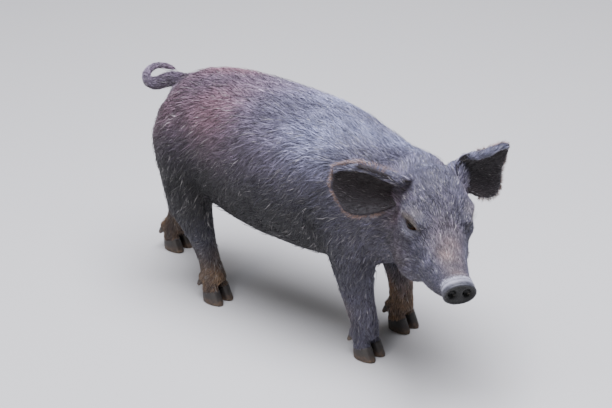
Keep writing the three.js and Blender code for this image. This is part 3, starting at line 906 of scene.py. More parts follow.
# %% Skin material
skin_material, tree, surface = new_material("bristled pig skin", {"Roughness": 0.62, "IOR": 1.4})
place = add_node(tree, "TexCoord").outputs["Object"]
colour = add_node(tree, "Attribute", attribute_name="marking").outputs["Color"]
creases = add_node(tree, "TexVoronoi", {"Vector": place, "Scale": metres(1.8)}, feature="DISTANCE_TO_EDGE")
grain = add_node(tree, "TexNoise", {"Vector": place, "Scale": metres(6), "Detail": 5.0, "Roughness": 0.6})
mottle = add_node(tree, "Mix", {FACTOR: 0.5, FIRST: colour, SECOND: grain.outputs[0]}, **SOFT_LIGHT)
tree.links.new(mottle.outputs[MIXED], surface.inputs["Base Color"])
height = add_node(tree, "Math", {0: creases.outputs["Distance"], 1: grain.outputs[0]}, operation="MULTIPLY")
bump = add_node(tree, "Bump", {"Height": height.outputs[0], "Strength": 0.5, "Distance": 0.6 * MM})
tree.links.new(bump.outputs[0], surface.inputs["Normal"])
skin_piece.data.materials.append(skin_material)
print(skin_material.name, "has", len(tree.nodes), "nodes")

# %% [markdown]
# In front of the hair the snout is bare gristle under thin skin, kept wet by glands. Its
# surface is set with little domes about 1.4 mm across, and the water film over them gives
# sharp, broken highlights. The film is uneven, so its roughness follows the smears. It is
# the same mesh as the skin, with a material of its own.

# %% Snout material
BARE_FROM = -17  # millimetres in the head's frame: what lies further ahead is bare
snout, tree, surface = new_material("wet snout gristle", {
    "IOR": 1.4, "Specular IOR Level": 0.22, "Coat Weight": 0.12, "Coat Roughness": 0.12,
})
place = add_node(tree, "TexCoord").outputs["Object"]
colour = add_node(tree, "Attribute", attribute_name="marking").outputs["Color"]
domes = add_node(tree, "TexVoronoi", {"Vector": place, "Scale": metres(1.4)}, feature="SMOOTH_F1")
smears = add_node(tree, "TexNoise", {"Vector": place, "Scale": metres(7), "Detail": 5.0, "Roughness": 0.65})
mixed = {FACTOR: 0.8, FIRST: colour, SECOND: smears.outputs[0]}
smeared = add_node(tree, "Mix", mixed, data_type="RGBA", blend_type="OVERLAY")
tree.links.new(smeared.outputs[MIXED], surface.inputs["Base Color"])
film = add_node(tree, "MapRange", {
    "Value": smears.outputs[0], "From Min": 0.35, "From Max": 0.65, "To Min": 0.18, "To Max": 0.42,
})
tree.links.new(film.outputs[0], surface.inputs["Roughness"])
relief = add_node(tree, "Math", {0: domes.outputs["Distance"], 1: smears.outputs[0]}, operation="SUBTRACT")
bump = add_node(tree, "Bump", {"Height": relief.outputs[0], "Strength": 0.7, "Distance": 0.7 * MM})
tree.links.new(bump.outputs[0], surface.inputs["Normal"])
skin_piece.data.materials.append(snout)
bare = into_head(skin_points[skin_quads].mean(1))[:, 0] / MM > BARE_FROM
skin_piece.data.polygons.foreach_set("material_index", bare.astype(np.int32))
print("bare snout:", int(bare.sum()), "faces")

# %% [markdown]
# A claw is a shell of horn. The solids give its form with flat facets. A small field for
# each claw, with finer cells than the skin's, rounds the facets as the skin was rounded.

# %% Round the claws
HORN_VOXEL, HORN_ROUNDING, HORN_BAND = 1.3 * MM, 0.9 * MM, 6


def normals_of(points, faces):
    """Unit normals at the points of a mesh, weighted by the faces round them."""
    corners = points[faces]
    face_normals = np.cross(corners[:, 2] - corners[:, 0], corners[:, -1] - corners[:, 1])
    normals = np.zeros_like(points)
    for column in faces.T:
        for axis in range(3):
            normals[:, axis] += np.bincount(column, face_normals[:, axis], len(points))
    return normals / np.maximum(np.linalg.norm(normals, axis=1, keepdims=True), 1e-12)


def rounded_solid(node):
    """A claw's solid with its facets rounded, as points and quads."""
    points, triangles = mesh_of([node])
    start = np.floor(points.min(0) / HORN_VOXEL).astype(int) - HORN_BAND - 1
    size = np.ceil(points.max(0) / HORN_VOXEL).astype(int) + HORN_BAND + 2 - start
    fine = vdb.createLinearTransform(HORN_VOXEL)
    grid = vdb.FloatGrid.createLevelSetFromPolygons(
        points, triangles=triangles, transform=fine, halfWidth=HORN_BAND)
    field = np.empty(size, np.float32)
    grid.copyToArray(field, ijk=tuple(int(i) for i in start))
    smooth = vdb.FloatGrid(HORN_BAND * HORN_VOXEL)
    smooth.transform = fine
    smooth.copyFromArray(blurred(field, HORN_ROUNDING, HORN_VOXEL), ijk=tuple(int(i) for i in start))
    points, quads = smooth.convertToQuads(0.0)
    return points.astype(float), quads


print("one claw:", len(mesh_of([CLAWS[0]])[1]), "triangles become", len(rounded_solid(CLAWS[0])[1]), "quads")

# %% [markdown]
# Horn grows down from the coronet a little each day, which leaves fine rings parallel to
# its top. Walking wears it flat below and paler with dust towards the ground.

# %% Claws
RING_APART, RING_DEPTH, RING_SLOPE, RING_WANDER = 2.6 * MM, 0.22 * MM, 0.25, 0.4 * MM


def with_rings(points, quads):
    """A claw's points pushed in and out along its growth rings, and flat on the ground."""
    normals = normals_of(points, quads)
    height = points[:, 2] - points[:, 2].min()
    wall = smooth_step(height, 2 * MM, 6 * MM) * (1 - np.abs(normals[:, 2]) ** 2)
    level = points[:, 2] - RING_SLOPE * points[:, 0] + RING_WANDER * waves(points, 9 * MM, 4)
    rings = np.sin(level * 2 * math.pi / RING_APART)
    points += normals * (wall * rings * RING_DEPTH)[:, None]
    points[:, 2] = np.maximum(points[:, 2], 0)
    return points, height


horn_points, horn_quads, horn_colours, count = [], [], [], 0
for node in CLAWS + DEWCLAWS:
    points, quads = rounded_solid(node)
    points, height = with_rings(points, quads)
    dust = smooth_step(-height, -15 * MM, 2 * MM) * (0.6 + 0.4 * waves(points, 6 * MM, 8))
    horn_colours.append(blend(one_colour("#2c2724", len(points)), MUD, dust))
    horn_points.append(points)
    horn_quads.append(quads + count)
    count += len(points)
horn_points, horn_quads = np.concatenate(horn_points), np.concatenate(horn_quads)
claws_piece = new_piece("claws", horn_points, horn_quads, CLAWS + DEWCLAWS)
paint(claws_piece, np.concatenate(horn_colours))
print("claws:", len(horn_quads), "quads on", len(CLAWS + DEWCLAWS), "claws")

# %% [markdown]
# Hoof horn is keratin, like a finger nail: an index of refraction near 1.55, worn to a
# satin by walking. Fine fibres run down the wall, so its grain is stretched upright.

# %% Horn material
horn, tree, surface = new_material("worn hoof horn", {"IOR": 1.55})
place = add_node(tree, "TexCoord").outputs["Object"]
upright = add_node(tree, "Mapping", {"Vector": place, "Scale": (1.0, 1.0, 0.22)})
fibres = add_node(tree, "TexNoise", {"Vector": upright.outputs[0], "Scale": metres(1.2), "Detail": 4.0})
colour = add_node(tree, "Attribute", attribute_name="marking").outputs["Color"]
streaked = add_node(tree, "Mix", {FACTOR: 0.7, FIRST: colour, SECOND: fibres.outputs[0]}, **SOFT_LIGHT)
tree.links.new(streaked.outputs[MIXED], surface.inputs["Base Color"])
worn = add_node(tree, "MapRange", {"Value": fibres.outputs[0], "To Min": 0.38, "To Max": 0.62})
tree.links.new(worn.outputs[0], surface.inputs["Roughness"])
bump = add_node(tree, "Bump", {"Height": fibres.outputs[0], "Strength": 0.4, "Distance": 0.3 * MM})
tree.links.new(bump.outputs[0], surface.inputs["Normal"])
claws_piece.data.materials.append(horn)
print(horn.name, "has", len(tree.nodes), "nodes")

# %% [markdown]
# The eye is a ball with a slightly bulging cornea in front. One ball is made looking along
# +Z, and then turned to each eye's gaze, which is half forward and a little up.

# %% Eyeballs
IRIS, CORNEA_BULGE = 9.0 * MM, 0.9 * MM
GAZE_AHEAD, GAZE_UP = math.radians(36), math.radians(8)
EYE_ROWS, EYE_COLUMNS = 40, 64
POLE_GAP = 0.002  # radians left open at each pole, too small to see
BALL_INSET = 0.1 * MM


def gaze_axes(side):
    """The ways across, up and out along an eye's gaze."""
    gaze = head_axes @ np.array([math.sin(GAZE_AHEAD), side * math.cos(GAZE_AHEAD), math.sin(GAZE_UP)])
    gaze /= np.linalg.norm(gaze)
    across = head_axes[:, 0] - gaze * (head_axes[:, 0] @ gaze)
    across /= np.linalg.norm(across)
    return across, np.cross(gaze, across), gaze


def eyeball():
    """A ball with a cornea in front, looking along +Z: its x, y and z, and its quads."""
    tilt = np.linspace(POLE_GAP, math.pi - POLE_GAP, EYE_ROWS)[:, None]
    turn = np.linspace(0, 2 * math.pi, EYE_COLUMNS, endpoint=False)[None, :]
    off_axis = EYEBALL * np.sin(tilt)
    bulge = CORNEA_BULGE * np.clip(1 - (off_axis / IRIS) ** 2, 0, 1) * (tilt < math.pi / 2)
    radius = EYEBALL - BALL_INSET + bulge
    sideways = radius * np.sin(tilt)
    ball = [sideways * np.cos(turn), sideways * np.sin(turn), radius * np.cos(tilt) + 0 * turn]
    grid = np.arange(EYE_ROWS * EYE_COLUMNS).reshape(EYE_ROWS, EYE_COLUMNS)
    following = np.roll(grid, -1, axis=1)
    quads = np.stack([grid[:-1], grid[1:], following[1:], following[:-1]], -1).reshape(-1, 4)
    return [part.reshape(-1) for part in ball], quads


(ball_x, ball_y, ball_z), ball_quads = eyeball()
eye_points, eye_quads = [], []
for index, (eye, side) in enumerate(zip(EYES, (-1, 1))):
    across, upward, gaze = gaze_axes(side)
    points = middle(eye) + np.outer(ball_x, across) + np.outer(ball_y, upward)
    eye_points.append(points + np.outer(ball_z, gaze))
    eye_quads.append(ball_quads + index * len(ball_x))
eyes_piece = new_piece("eyes", np.concatenate(eye_points), np.concatenate(eye_quads), EYES)
print("eyes:", 2 * len(ball_quads), "quads")

# %% [markdown]
# The lids leave a black pupil in view, wider than it is high, in a dark brown iris, and
# brownish white at the corners. Under the tear film the colours are glossy, with the low
# index of refraction of the cornea. A mirror-like ball would only show the pale floor, so
# its reflection is held back and the colours stay deep.

# %% Eye colours and material
PUPIL_WIDTH, PUPIL_HEIGHT = 3.8 * MM, 2.6 * MM
from_gaze = np.hypot(ball_x, ball_y) / IRIS + 4.0 * (ball_z < 0)
in_pupil = np.hypot(ball_x / PUPIL_WIDTH, ball_y / PUPIL_HEIGHT)
eye_colours = one_colour("#6a564b", len(ball_x))
eye_colours = blend(eye_colours, linear("#1f130c"), smooth_step(-from_gaze, -1.08, -0.94))
eye_colours = blend(eye_colours, linear("#2b1c11"), bump_of(from_gaze - 0.68, 0.2) * 0.8)
eye_colours = blend(eye_colours, linear("#050405"), smooth_step(-in_pupil, -1.15, -0.85))
paint(eyes_piece, np.concatenate([eye_colours, eye_colours]))
wet_eye, tree, surface = new_material("wet eyeball", {
    "Roughness": 0.05, "IOR": 1.336, "Specular IOR Level": 0.16,
})
colour = add_node(tree, "Attribute", attribute_name="marking").outputs["Color"]
place = add_node(tree, "TexCoord").outputs["Object"]
veins = add_node(tree, "TexNoise", {"Vector": place, "Scale": metres(2.5), "Detail": 3.0})
tinted = add_node(tree, "Mix", {FACTOR: 0.35, FIRST: colour, SECOND: veins.outputs[0]}, **SOFT_LIGHT)
tree.links.new(tinted.outputs[MIXED], surface.inputs["Base Color"])
eyes_piece.data.materials.append(wet_eye)
print("pupil", round(2 * PUPIL_WIDTH / MM, 1), "by", round(2 * PUPIL_HEIGHT / MM, 1), "mm")

# %% [markdown]
# Tears, the flesh of the eye's corner and the lashes are all strands of some kind. One
# function makes round strands along lines, and another finds places round an eye.

# %% Strands and places round an eye
def tubes(lines, radii, sides=6):
    """Round strands along several lines of equal length, as points and quads."""
    lines, radii = np.asarray(lines, float), np.asarray(radii, float)
    along = np.gradient(lines, axis=1)
    along /= np.linalg.norm(along, axis=2, keepdims=True)
    across = np.cross(along, head_axes[:, 2])
    across /= np.linalg.norm(across, axis=2, keepdims=True)
    upward = np.cross(along, across)
    turn = np.linspace(0, 2 * math.pi, sides, endpoint=False)
    offsets = across[:, :, None] * np.cos(turn)[:, None] + upward[:, :, None] * np.sin(turn)[:, None]
    points = lines[:, :, None] + offsets * radii[None, :, None, None]
    grid = np.arange(points[..., 0].size).reshape(points.shape[:3])
    following = np.roll(grid, -1, axis=2)
    quads = np.stack([grid[:, :-1], following[:, :-1], following[:, 1:], grid[:, 1:]], -1)
    return points.reshape(-1, 3), quads.reshape(-1, 4)


def on_eyeball(eye, side, along, across, gap):
    """Places round an eye: along and across the slit, at a gap outside the ball."""
    across = across + 0 * along
    outward = np.sqrt(np.maximum((EYEBALL + gap) ** 2 - along ** 2 - across ** 2, 1e-8))
    return middle(eye) + np.stack([along, outward, across], -1) @ eye_axes(side).T


straight = np.array([[(t, 0, 0) for t in np.linspace(0, 1, 6)]])
print("a strand of 6 rings has", len(tubes(straight, np.full(6, 0.1))[1]), "quads")

# %% [markdown]
# Tears gather in a fine wet bead along the lower lid and round the pink knob of flesh in
# the inner corner. The bead is thinner than a millimetre, but being round it catches the
# light from wherever it comes.

# %% Tears and the flesh of the corner
TEAR_RADIUS, CORNER_RADIUS, STEPS = 0.45 * MM, 1.7 * MM, 24
tear_lines, corner_lines = [], []
for eye, side in zip(EYES, (-1, 1)):
    along = np.linspace(-10, 9.5, STEPS) * MM
    edge = -SLIT_LOWER * (1 - (along / SLIT_HALF_LENGTH) ** 2)
    tear_lines.append(on_eyeball(eye, side, along, edge + 0.3 * MM, 0.3 * MM))
    corner_lines.append(on_eyeball(eye, side, np.linspace(8.6, 10.6, STEPS) * MM, -0.6 * MM, -0.2 * MM))
swell = np.sin(np.linspace(0.05, math.pi - 0.05, STEPS))
tear_points, tear_quads = tubes(tear_lines, TEAR_RADIUS * swell)
corner_points, corner_quads = tubes(corner_lines, CORNER_RADIUS * swell, 10)
wet_points = np.concatenate([tear_points, corner_points])
wet_quads = np.concatenate([tear_quads, corner_quads + len(tear_points)])
wet_piece = new_piece("tears", wet_points, wet_quads)
paint(wet_piece, np.concatenate([
    one_colour("#3a2520", len(tear_points)), one_colour("#a86a58", len(corner_points)),
]))
print("tears and corners:", len(wet_quads), "quads")

# %% [markdown]
# The flesh of the corner is a mucous membrane: soft, veined, and under a full film of
# water, which is the clear coat here.

# %% Wet flesh material
wet_flesh, tree, surface = new_material("wet flesh of the eye corner", {
    "Roughness": 0.1, "IOR": 1.38, "Coat Weight": 0.8, "Coat Roughness": 0.03,
})
colour = add_node(tree, "Attribute", attribute_name="marking").outputs["Color"]
place = add_node(tree, "TexCoord").outputs["Object"]
veins = add_node(tree, "TexNoise", {"Vector": place, "Scale": metres(1.5), "Detail": 3.0})
tinted = add_node(tree, "Mix", {FACTOR: 0.6, FIRST: colour, SECOND: veins.outputs[0]}, **SOFT_LIGHT)
tree.links.new(tinted.outputs[MIXED], surface.inputs["Base Color"])
wet_piece.data.materials.append(wet_flesh)
print(wet_flesh.name, "has", len(tree.nodes), "nodes")

# %% [markdown]
# A pig has stiff lashes on the upper lid only. They stand out over the eye, fan apart
# towards its corners and curl up a little at their tips.

# %% Lashes
LASHES, LASH_LENGTH = 14, 7 * MM
LASH_RADII = np.linspace(0.2, 0.04, 6) * MM  # from root to tip
lash_lines = []
for eye, side in zip(EYES, (-1, 1)):
    for spot in np.linspace(-10, 7, LASHES) * MM:
        rise = SLIT_UPPER * (1 - (spot / SLIT_HALF_LENGTH) ** 2) + 0.6 * MM
        start = on_eyeball(eye, side, np.array([spot]), np.array([rise]), 0.9 * MM)[0]
        t = np.linspace(0, 1, 6)[:, None]
        out = eye_axes(side) @ np.array([spot / (25 * MM) - 0.25, 1, 0.1])
        curl = head_axes[:, 2] * 0.35
        lash_lines.append(start + (out * t + curl * t * t) * LASH_LENGTH)
lash_points, lash_quads = tubes(lash_lines, LASH_RADII, 4)
lashes_piece = new_piece("lashes", lash_points, lash_quads)
paint(lashes_piece, one_colour("#4a4542", len(lash_points)))
print(len(lash_lines), "lashes")

# %% [markdown]
# The coat's bristles lie along the body like grass after rain. A groomer sets guide hairs
# and lets the rest follow, and so does this cell: each guide has a place and a direction,
# and any other hair takes the average of the guides, the nearest counting most.

# %% Guide hairs
BODY_GUIDES = [  # millimetres in the pig's frame, y from its middle; then the way the hair lies
    (-325, 15, 300, -0.5, 0.1, -1), (-290, 10, 345, -1, 0, -0.35), (-200, 0, 362, -1, 0, 0),
    (-100, 0, 362, -1, 0, 0), (0, 0, 345, -1, 0, 0.1), (80, 0, 325, -1, 0, 0.2), (150, 0, 315, -1, 0, 0.1),
    (-290, 70, 300, -0.8, 0.2, -0.9), (-210, 90, 310, -1, 0.3, -0.8), (-110, 95, 300, -1, 0.35, -0.85),
    (-10, 90, 290, -1, 0.35, -0.85), (70, 85, 275, -0.9, 0.3, -0.9), (140, 70, 270, -1, 0.3, -0.5),
    (-270, 95, 230, -0.45, 0, -1), (-190, 112, 235, -0.65, 0, -1), (-90, 118, 225, -0.8, 0, -1),
    (0, 112, 215, -0.8, 0, -0.9), (80, 100, 200, -0.35, 0, -1), (150, 80, 200, -0.5, 0.1, -1),
    (-120, 80, 160, -1, -0.2, -0.35), (-30, 75, 150, -1, -0.2, -0.3), (-80, 10, 132, -1, 0, 0),
    (30, 10, 135, -1, 0, 0),
    (-330, 40, 220, 0.1, 0, -1), (-250, 70, 140, 0.05, 0, -1), (-250, 70, 60, 0, 0, -1),
    (120, 60, 120, -0.1, 0, -1), (120, 60, 60, 0, 0, -1), (190, 20, 190, -0.6, 0.1, -0.9),
]
HEAD_GUIDES = [  # the same in the head's own frame
    (-10, 0, 22, -1, 0, 0.1), (-45, 0, 24, -1, 0, 0.3), (-85, 0, 40, -1, 0, 0.4),
    (-120, 8, 56, -0.8, 0.35, 0.5), (-150, 14, 72, -0.9, 0.5, 0.4), (-190, 8, 88, -1, 0.1, 0.2),
    (-230, 0, 85, -1, 0, 0),
    (-25, 24, 0, -1, 0, -0.1), (-60, 32, 0, -1, 0.1, 0.1), (-92, 40, 5, -1, 0.1, 0.0),
    (-104, 36, 34, -0.8, 0.3, 0.7), (-125, 46, 46, -0.9, 0.3, 0.5), (-145, 52, 38, -1, 0.1, 0.2),
    (-122, 52, 6, -1, 0, -0.35), (-145, 56, 10, -1, 0, -0.25),
    (-110, 52, -25, -1, 0, -0.5), (-145, 58, -30, -0.9, 0, -0.7), (-180, 60, -10, -0.8, 0, -0.8),
    (-60, 30, -32, -1, 0, 0.1), (-100, 35, -58, -1, 0, -0.3), (-60, 0, -46, -1, 0, 0),
    (-150, 0, -70, -1, 0, -0.4),
]
GUIDE_SOFTNESS = 18 * MM  # closer than this, a guide hardly counts for more


def guide_hairs():
    """The places and unit directions of all the guides, on both sides of the pig."""
    places, ways = [], []
    for side in (-1, 1):
        body = np.array(BODY_GUIDES) * [1, side, 1, 1, side, 1]
        head = np.array(HEAD_GUIDES) * [1, side, 1, 1, side, 1]
        places += [body[:, :3] * MM + [0, BODY_MIDDLE_Y, 0], from_head(head[:, :3] * MM)]
        ways += [body[:, 3:], head[:, 3:] @ head_axes.T]
    ways = np.concatenate(ways)
    return np.concatenate(places), ways / np.linalg.norm(ways, axis=1, keepdims=True)


guide_places, guide_ways = guide_hairs()


def lie_of_coat(points):
    """The way the coat lies at each place, before it is laid flat on the skin."""
    total = np.zeros_like(points)
    for place, way in zip(guide_places, guide_ways):
        weight = 1 / (((points - place) ** 2).sum(1) + GUIDE_SOFTNESS ** 2) ** 2
        total += weight[:, None] * way
    return total / np.linalg.norm(total, axis=1, keepdims=True)


print(len(guide_places), "guide hairs")

# %% [markdown]
# The ears have their own lie, from the root to the tip, and on the rim the hair stands
# out past the edge as a fringe. The rim is found by looking at each ear flat on: its
# points are sorted by the angle round its middle, and those furthest out in each
# direction are the rim. Each point also learns whether it lies in the ear's hollow.

# %% The ears' own lie
SECTORS = 90
EAR_SHELL = 1.4 * MM  # skin this near to an ear's solid belongs to the ear
ear_distance = sampled(ears_as_built, skin_points)
skin_normals = normals_of(skin_points.astype(float), skin_quads)
is_ear = (ear_distance < EAR_SHELL) & (np.linalg.norm(skin_points - snout_tip, axis=1) > 0.12)
left_of_head = into_head(skin_points)[:, 1] > 0


def rim_of(points):
    """How near each point of an ear is to its rim, 1 on the rim itself, and the way outward there."""
    centre = points.mean(0)
    spread = np.linalg.svd((points - centre)[::7], full_matrices=False)[2]
    flat = (points - centre) @ spread[:2].T
    reach = np.hypot(flat[:, 0], flat[:, 1])
    turn = (np.arctan2(flat[:, 1], flat[:, 0]) + math.pi) / (2 * math.pi)
    sector = (turn * SECTORS).astype(int) % SECTORS
    furthest = np.zeros(SECTORS)
    np.maximum.at(furthest, sector, reach)
    return reach / furthest[sector], (flat / reach[:, None]) @ spread[:2]


rim, in_ear = np.zeros(len(skin_points)), np.zeros(len(skin_points))
ear_way = np.zeros_like(skin_normals)
for ear, side in zip(EARS, (-1, 1)):
    own = np.flatnonzero(is_ear & (left_of_head == (side > 0)))
    nearness, outward = rim_of(skin_points[own].astype(float))
    bend = head_axes @ np.array(EAR_BEND[ear])
    from_root = skin_points[own].astype(float) @ bend
    nearness = nearness * smooth_step(from_root - from_root.min(), 16 * MM, 32 * MM)
    rim[own] = nearness
    on_rim = smooth_step(nearness, 0.86, 0.97)[:, None]
    ear_way[own] = bend * (1.2 - on_rim) + outward * (0.25 + on_rim)
    # The hollow, marked 1, is later painted dark as shade.
    in_ear[own] = smooth_step(skin_normals[own] @ (head_axes @ np.array(EAR_OPEN[ear])), 0.0, 0.45)
in_ear *= 1 - 0.5 * smooth_step(rim, 0.93, 1.0)
# Ear skin that faces up is marked -1, to be painted light as a highlight.
in_ear -= is_ear * smooth_step(skin_normals[:, 2], 0.2, 0.6) * (in_ear < 0.35)
del ears_as_built
print("ear points", int(is_ear.sum()), "of which on the rim", int((rim > 0.93).sum()))

# %% [markdown]
# Now that the ears are known, the skin can be painted. Between bristles it is seen in
# their shade, so it takes the same markings at half their strength.

# %% Paint the skin
SKIN_SHADE = 0.5
paint(skin_piece, marking(skin_points, in_ear) * SKIN_SHADE)
print("painted", len(skin_points), "points")

# %% [markdown]
# The coat is split into pieces by region. Each region says how dense, how long and how
# wide its bristles are and how far they stand off the skin. They are shortest on the face
# and feet, and long and loose on the cheeks and the throat. A bristle this far away is
# finer than a pixel, so each tuft stands for a few bristles stuck together.

# %% Regions of the coat
# name: tufts per square centimetre, length, width, height of the middle and of the tip in millimetres
COATS = {
    "back": (31, 30, 0.95, 1.5, 1.6),
    "right flank": (29, 31, 0.95, 1.5, 1.6),
    "left flank": (29, 31, 0.95, 1.5, 1.6),
    "rump": (31, 25, 1.0, 1.5, 1.6),
    "belly": (13, 24, 1.2, 1.8, 2.2),
    "right shoulder": (31, 25, 1.0, 1.5, 1.8),
    "left shoulder": (31, 25, 1.0, 1.5, 1.8),
    "right cheek": (54, 12.5, 0.75, 1.1, 1.4),
    "left cheek": (54, 12.5, 0.75, 1.1, 1.4),
    "face": (85, 8, 0.6, 0.7, 0.8),
    "hind legs": (27, 13, 1.0, 0.9, 1.1),
    "fore legs": (27, 13, 1.0, 0.9, 1.1),
    "ears": (62, 8, 0.6, 0.6, 0.8),
    "tail": (70, 8, 0.6, 0.7, 0.9),
}
CHEEKS, LEGS = ("right cheek", "left cheek"), ("hind legs", "fore legs")
FACE_BEHIND = -88  # the face ends this far behind the disc, in millimetres
TAIL_ROUTE = [
    (-254, 19, 330), (-282, 17, 326), (-302, 7, 317), (-316, 1, 318), (-322, 5, 329),
    (-316, 15, 339), (-304, 25, 340), (-291, 33, 336), (-280, 39, 330),
]
tail_steps = curve_through(np.array(TAIL_ROUTE) * MM, 40)[::4]
quad_corners = skin_points[skin_quads].astype(float)
quad_middles = skin_points[skin_quads].mean(1).astype(float)
quad_x, quad_y, quad_z = quad_middles.T
quad_ahead, quad_left, quad_up = into_head(quad_middles).T / MM
quad_normals = skin_normals[skin_quads].mean(1)
print(len(COATS), "regions for", len(quad_middles), "quads")

# %% [markdown]
# Each quad of the skin joins the first region whose condition it meets, and what is left
# over is the left flank. The area of each quad is needed later, to give every region the
# right number of tufts.

# %% Share the skin out
conditions = [
    ("tail", (quad_x < TAIL_START) & (nearest_on(tail_steps, quad_middles)[1] < 15 * MM)),
    ("ears", is_ear[skin_quads].any(1)),
    ("face", quad_ahead > FACE_BEHIND),
    ("right cheek", (quad_ahead > -205) & (quad_up > -95) & (quad_left <= 0)),
    ("left cheek", (quad_ahead > -205) & (quad_up > -95) & (quad_left > 0)),
    ("hind legs", (quad_z < 0.17) & (quad_x < -0.12)),
    ("fore legs", (quad_z < 0.15) & (quad_x > 0.045)),
    ("rump", quad_x < -0.255),
    ("right shoulder", (quad_x > 0.045) & (quad_y < BODY_MIDDLE_Y)),
    ("left shoulder", (quad_x > 0.045) & (quad_y >= BODY_MIDDLE_Y)),
    ("belly", quad_normals[:, 2] < -0.35),
    ("back", np.abs(quad_y - BODY_MIDDLE_Y) < 0.052),
    ("right flank", quad_y < BODY_MIDDLE_Y),
]
region = np.full(len(quad_middles), "left flank", dtype=object)
free = np.ones(len(quad_middles), bool)
for name, inside in conditions:
    region[free & inside] = name
    free &= ~inside
diagonals = quad_corners[:, 2] - quad_corners[:, 0], quad_corners[:, 3] - quad_corners[:, 1]
quad_area = np.linalg.norm(np.cross(*diagonals), axis=1) / 2
for name in COATS:
    print(f"{name:15s} {quad_area[region == name].sum() * 1e4:7.0f} cm2")

# %% [markdown]
# Round the eyes and along the lips the hair is thin, and the rims of the lids are bare.
# This cell says how much of the full density each quad keeps.

# %% Where the coat thins out
thickness = np.ones(len(quad_middles))
gap_to_eye = np.full(len(quad_middles), 1.0)
for eye, side in zip(EYES, (-1, 1)):
    offset = (quad_middles - middle(eye)) @ eye_axes(side)
    gap = np.linalg.norm(offset, axis=1)
    gap_to_eye = np.minimum(gap_to_eye, gap)
    round_slit = np.hypot(offset[:, 0] / (17 * MM), offset[:, 2] / (8 * MM))
    kept = 0.35 * smooth_step(round_slit, 0.85, 1.0) + 0.65 * smooth_step(round_slit, 1.2, 2.1)
    thickness *= np.where(gap < 20 * MM, kept, 1)
quad_in_head = np.stack([quad_ahead, np.abs(quad_left), quad_up], 1)
gap_to_mouth = nearest_on(curve_through(MOUTH, 24), quad_in_head)[1]
thickness *= 0.15 + 0.85 * smooth_step(gap_to_mouth, 1.5, 4.5)
in_hollow = np.maximum(in_ear[skin_quads[:, 0]], 0)
furred = (quad_ahead < -15) * (quad_z > 22 * MM) * (1 - 0.7 * in_hollow) * thickness
print(f"{100 * (quad_area * furred).sum() / quad_area.sum():.0f} % of the skin carries hair")

# %% [markdown]
# Lengths have to change gradually, or the borders of the regions would show as seams. The
# bristles grow shorter towards the eyes and the snout and down the legs, and longer from
# the cheeks to the throat.

# %% Where the coat is shorter
shortness = 0.25 + 0.75 * smooth_step(gap_to_eye, 13 * MM, 42 * MM)
shortness *= np.where(quad_ahead > FACE_BEHIND, 0.35 + 0.65 * smooth_step(-quad_ahead, 15, 70), 1)
on_cheek = 0.64 + 0.36 * smooth_step(-quad_ahead, 88, 135) + 0.5 * smooth_step(-quad_ahead, 160, 205)
shortness *= np.where(np.isin(region, CHEEKS), on_cheek, 1)
on_leg = 0.6 + 0.4 * smooth_step(quad_z, 0.03, 0.08) + 0.9 * smooth_step(quad_z, 0.1, 0.17)
shortness *= np.where(np.isin(region, LEGS), on_leg, 1)
print("lengths vary from", round(float(shortness.min()), 2), "to", round(float(shortness.max()), 2))

# %% [markdown]
# Roots are scattered at random, more of them where a quad is large or well furred. Each
# tuft lies the way the guides say, flat on the skin. Neighbours share a gentle sway, which
# makes the coat clump and part as real hair does.

# %% Scatter and comb
MOST_TUFTS = 21500  # keeps each piece under 200,000 triangles
SWAY_APART, SWAY, STRAY = 34 * MM, 0.3, 0.15  # size of a lock, and angles in radians


def scatter(name, chance):
    """The quads and the places on them where a region's tufts are rooted."""
    own = np.flatnonzero(region == name)
    weight = quad_area[own] * furred[own]
    count = min(int(weight.sum() * 1e4 * COATS[name][0]), MOST_TUFTS)
    chosen = own[np.searchsorted(np.cumsum(weight) / weight.sum(), chance.random(count))]
    across, upward = chance.random((2, count, 1))
    patch = quad_corners[chosen]
    roots = (patch[:, 0] * (1 - across) + patch[:, 1] * across) * (1 - upward)
    roots += (patch[:, 3] * (1 - across) + patch[:, 2] * across) * upward
    return chosen, roots


def flattened(ways, normals):
    """Directions laid flat on the skin."""
    ways = ways - normals * (ways * normals).sum(1, keepdims=True)
    return ways / np.maximum(np.linalg.norm(ways, axis=1, keepdims=True), 1e-9)


def combed(name, seed, chance, chosen, roots):
    """The way in which each tuft lies."""
    ways = lie_of_coat(roots)
    if name == "ears":
        ways = ear_way[skin_quads[chosen, 0]] + 1e-6
    if name == "tail":
        ways = np.gradient(tail_steps, axis=0)[nearest_on(tail_steps, roots)[0]]
    ways = flattened(ways, quad_normals[chosen])
    side = np.cross(ways, quad_normals[chosen])
    sway = SWAY * waves(roots, SWAY_APART, seed) + chance.normal(0, STRAY, len(roots))
    return ways * np.cos(sway)[:, None] + side * np.sin(sway)[:, None]


print("at most", MOST_TUFTS, "tufts in a piece")

# %% [markdown]
# A tuft is a slim spindle: a triangle at the root, sunk a little into the skin, a triangle
# at its widest in the middle, and a point. Its middle and tip are each lifted to their
# height over the skin with the field, so the tuft hugs every curve. One in twenty is
# longer and stands off a little, as stray bristles do.

# %% The shape of a tuft
POINTS_PER_TUFT, TRIANGLES_PER_TUFT = 7, 9
ROOT_DEPTH, MIDDLE_SHARE, LOOSE_SHARE = 0.5 * MM, 0.48, 0.05
EDGES = ((0, 1), (1, 2), (2, 0))
WALLS = [[a, a + 3, b + 3] for a, b in EDGES] + [[a, b + 3, b] for a, b in EDGES]
POINT = [[3, 6, 4], [4, 6, 5], [5, 6, 3]]


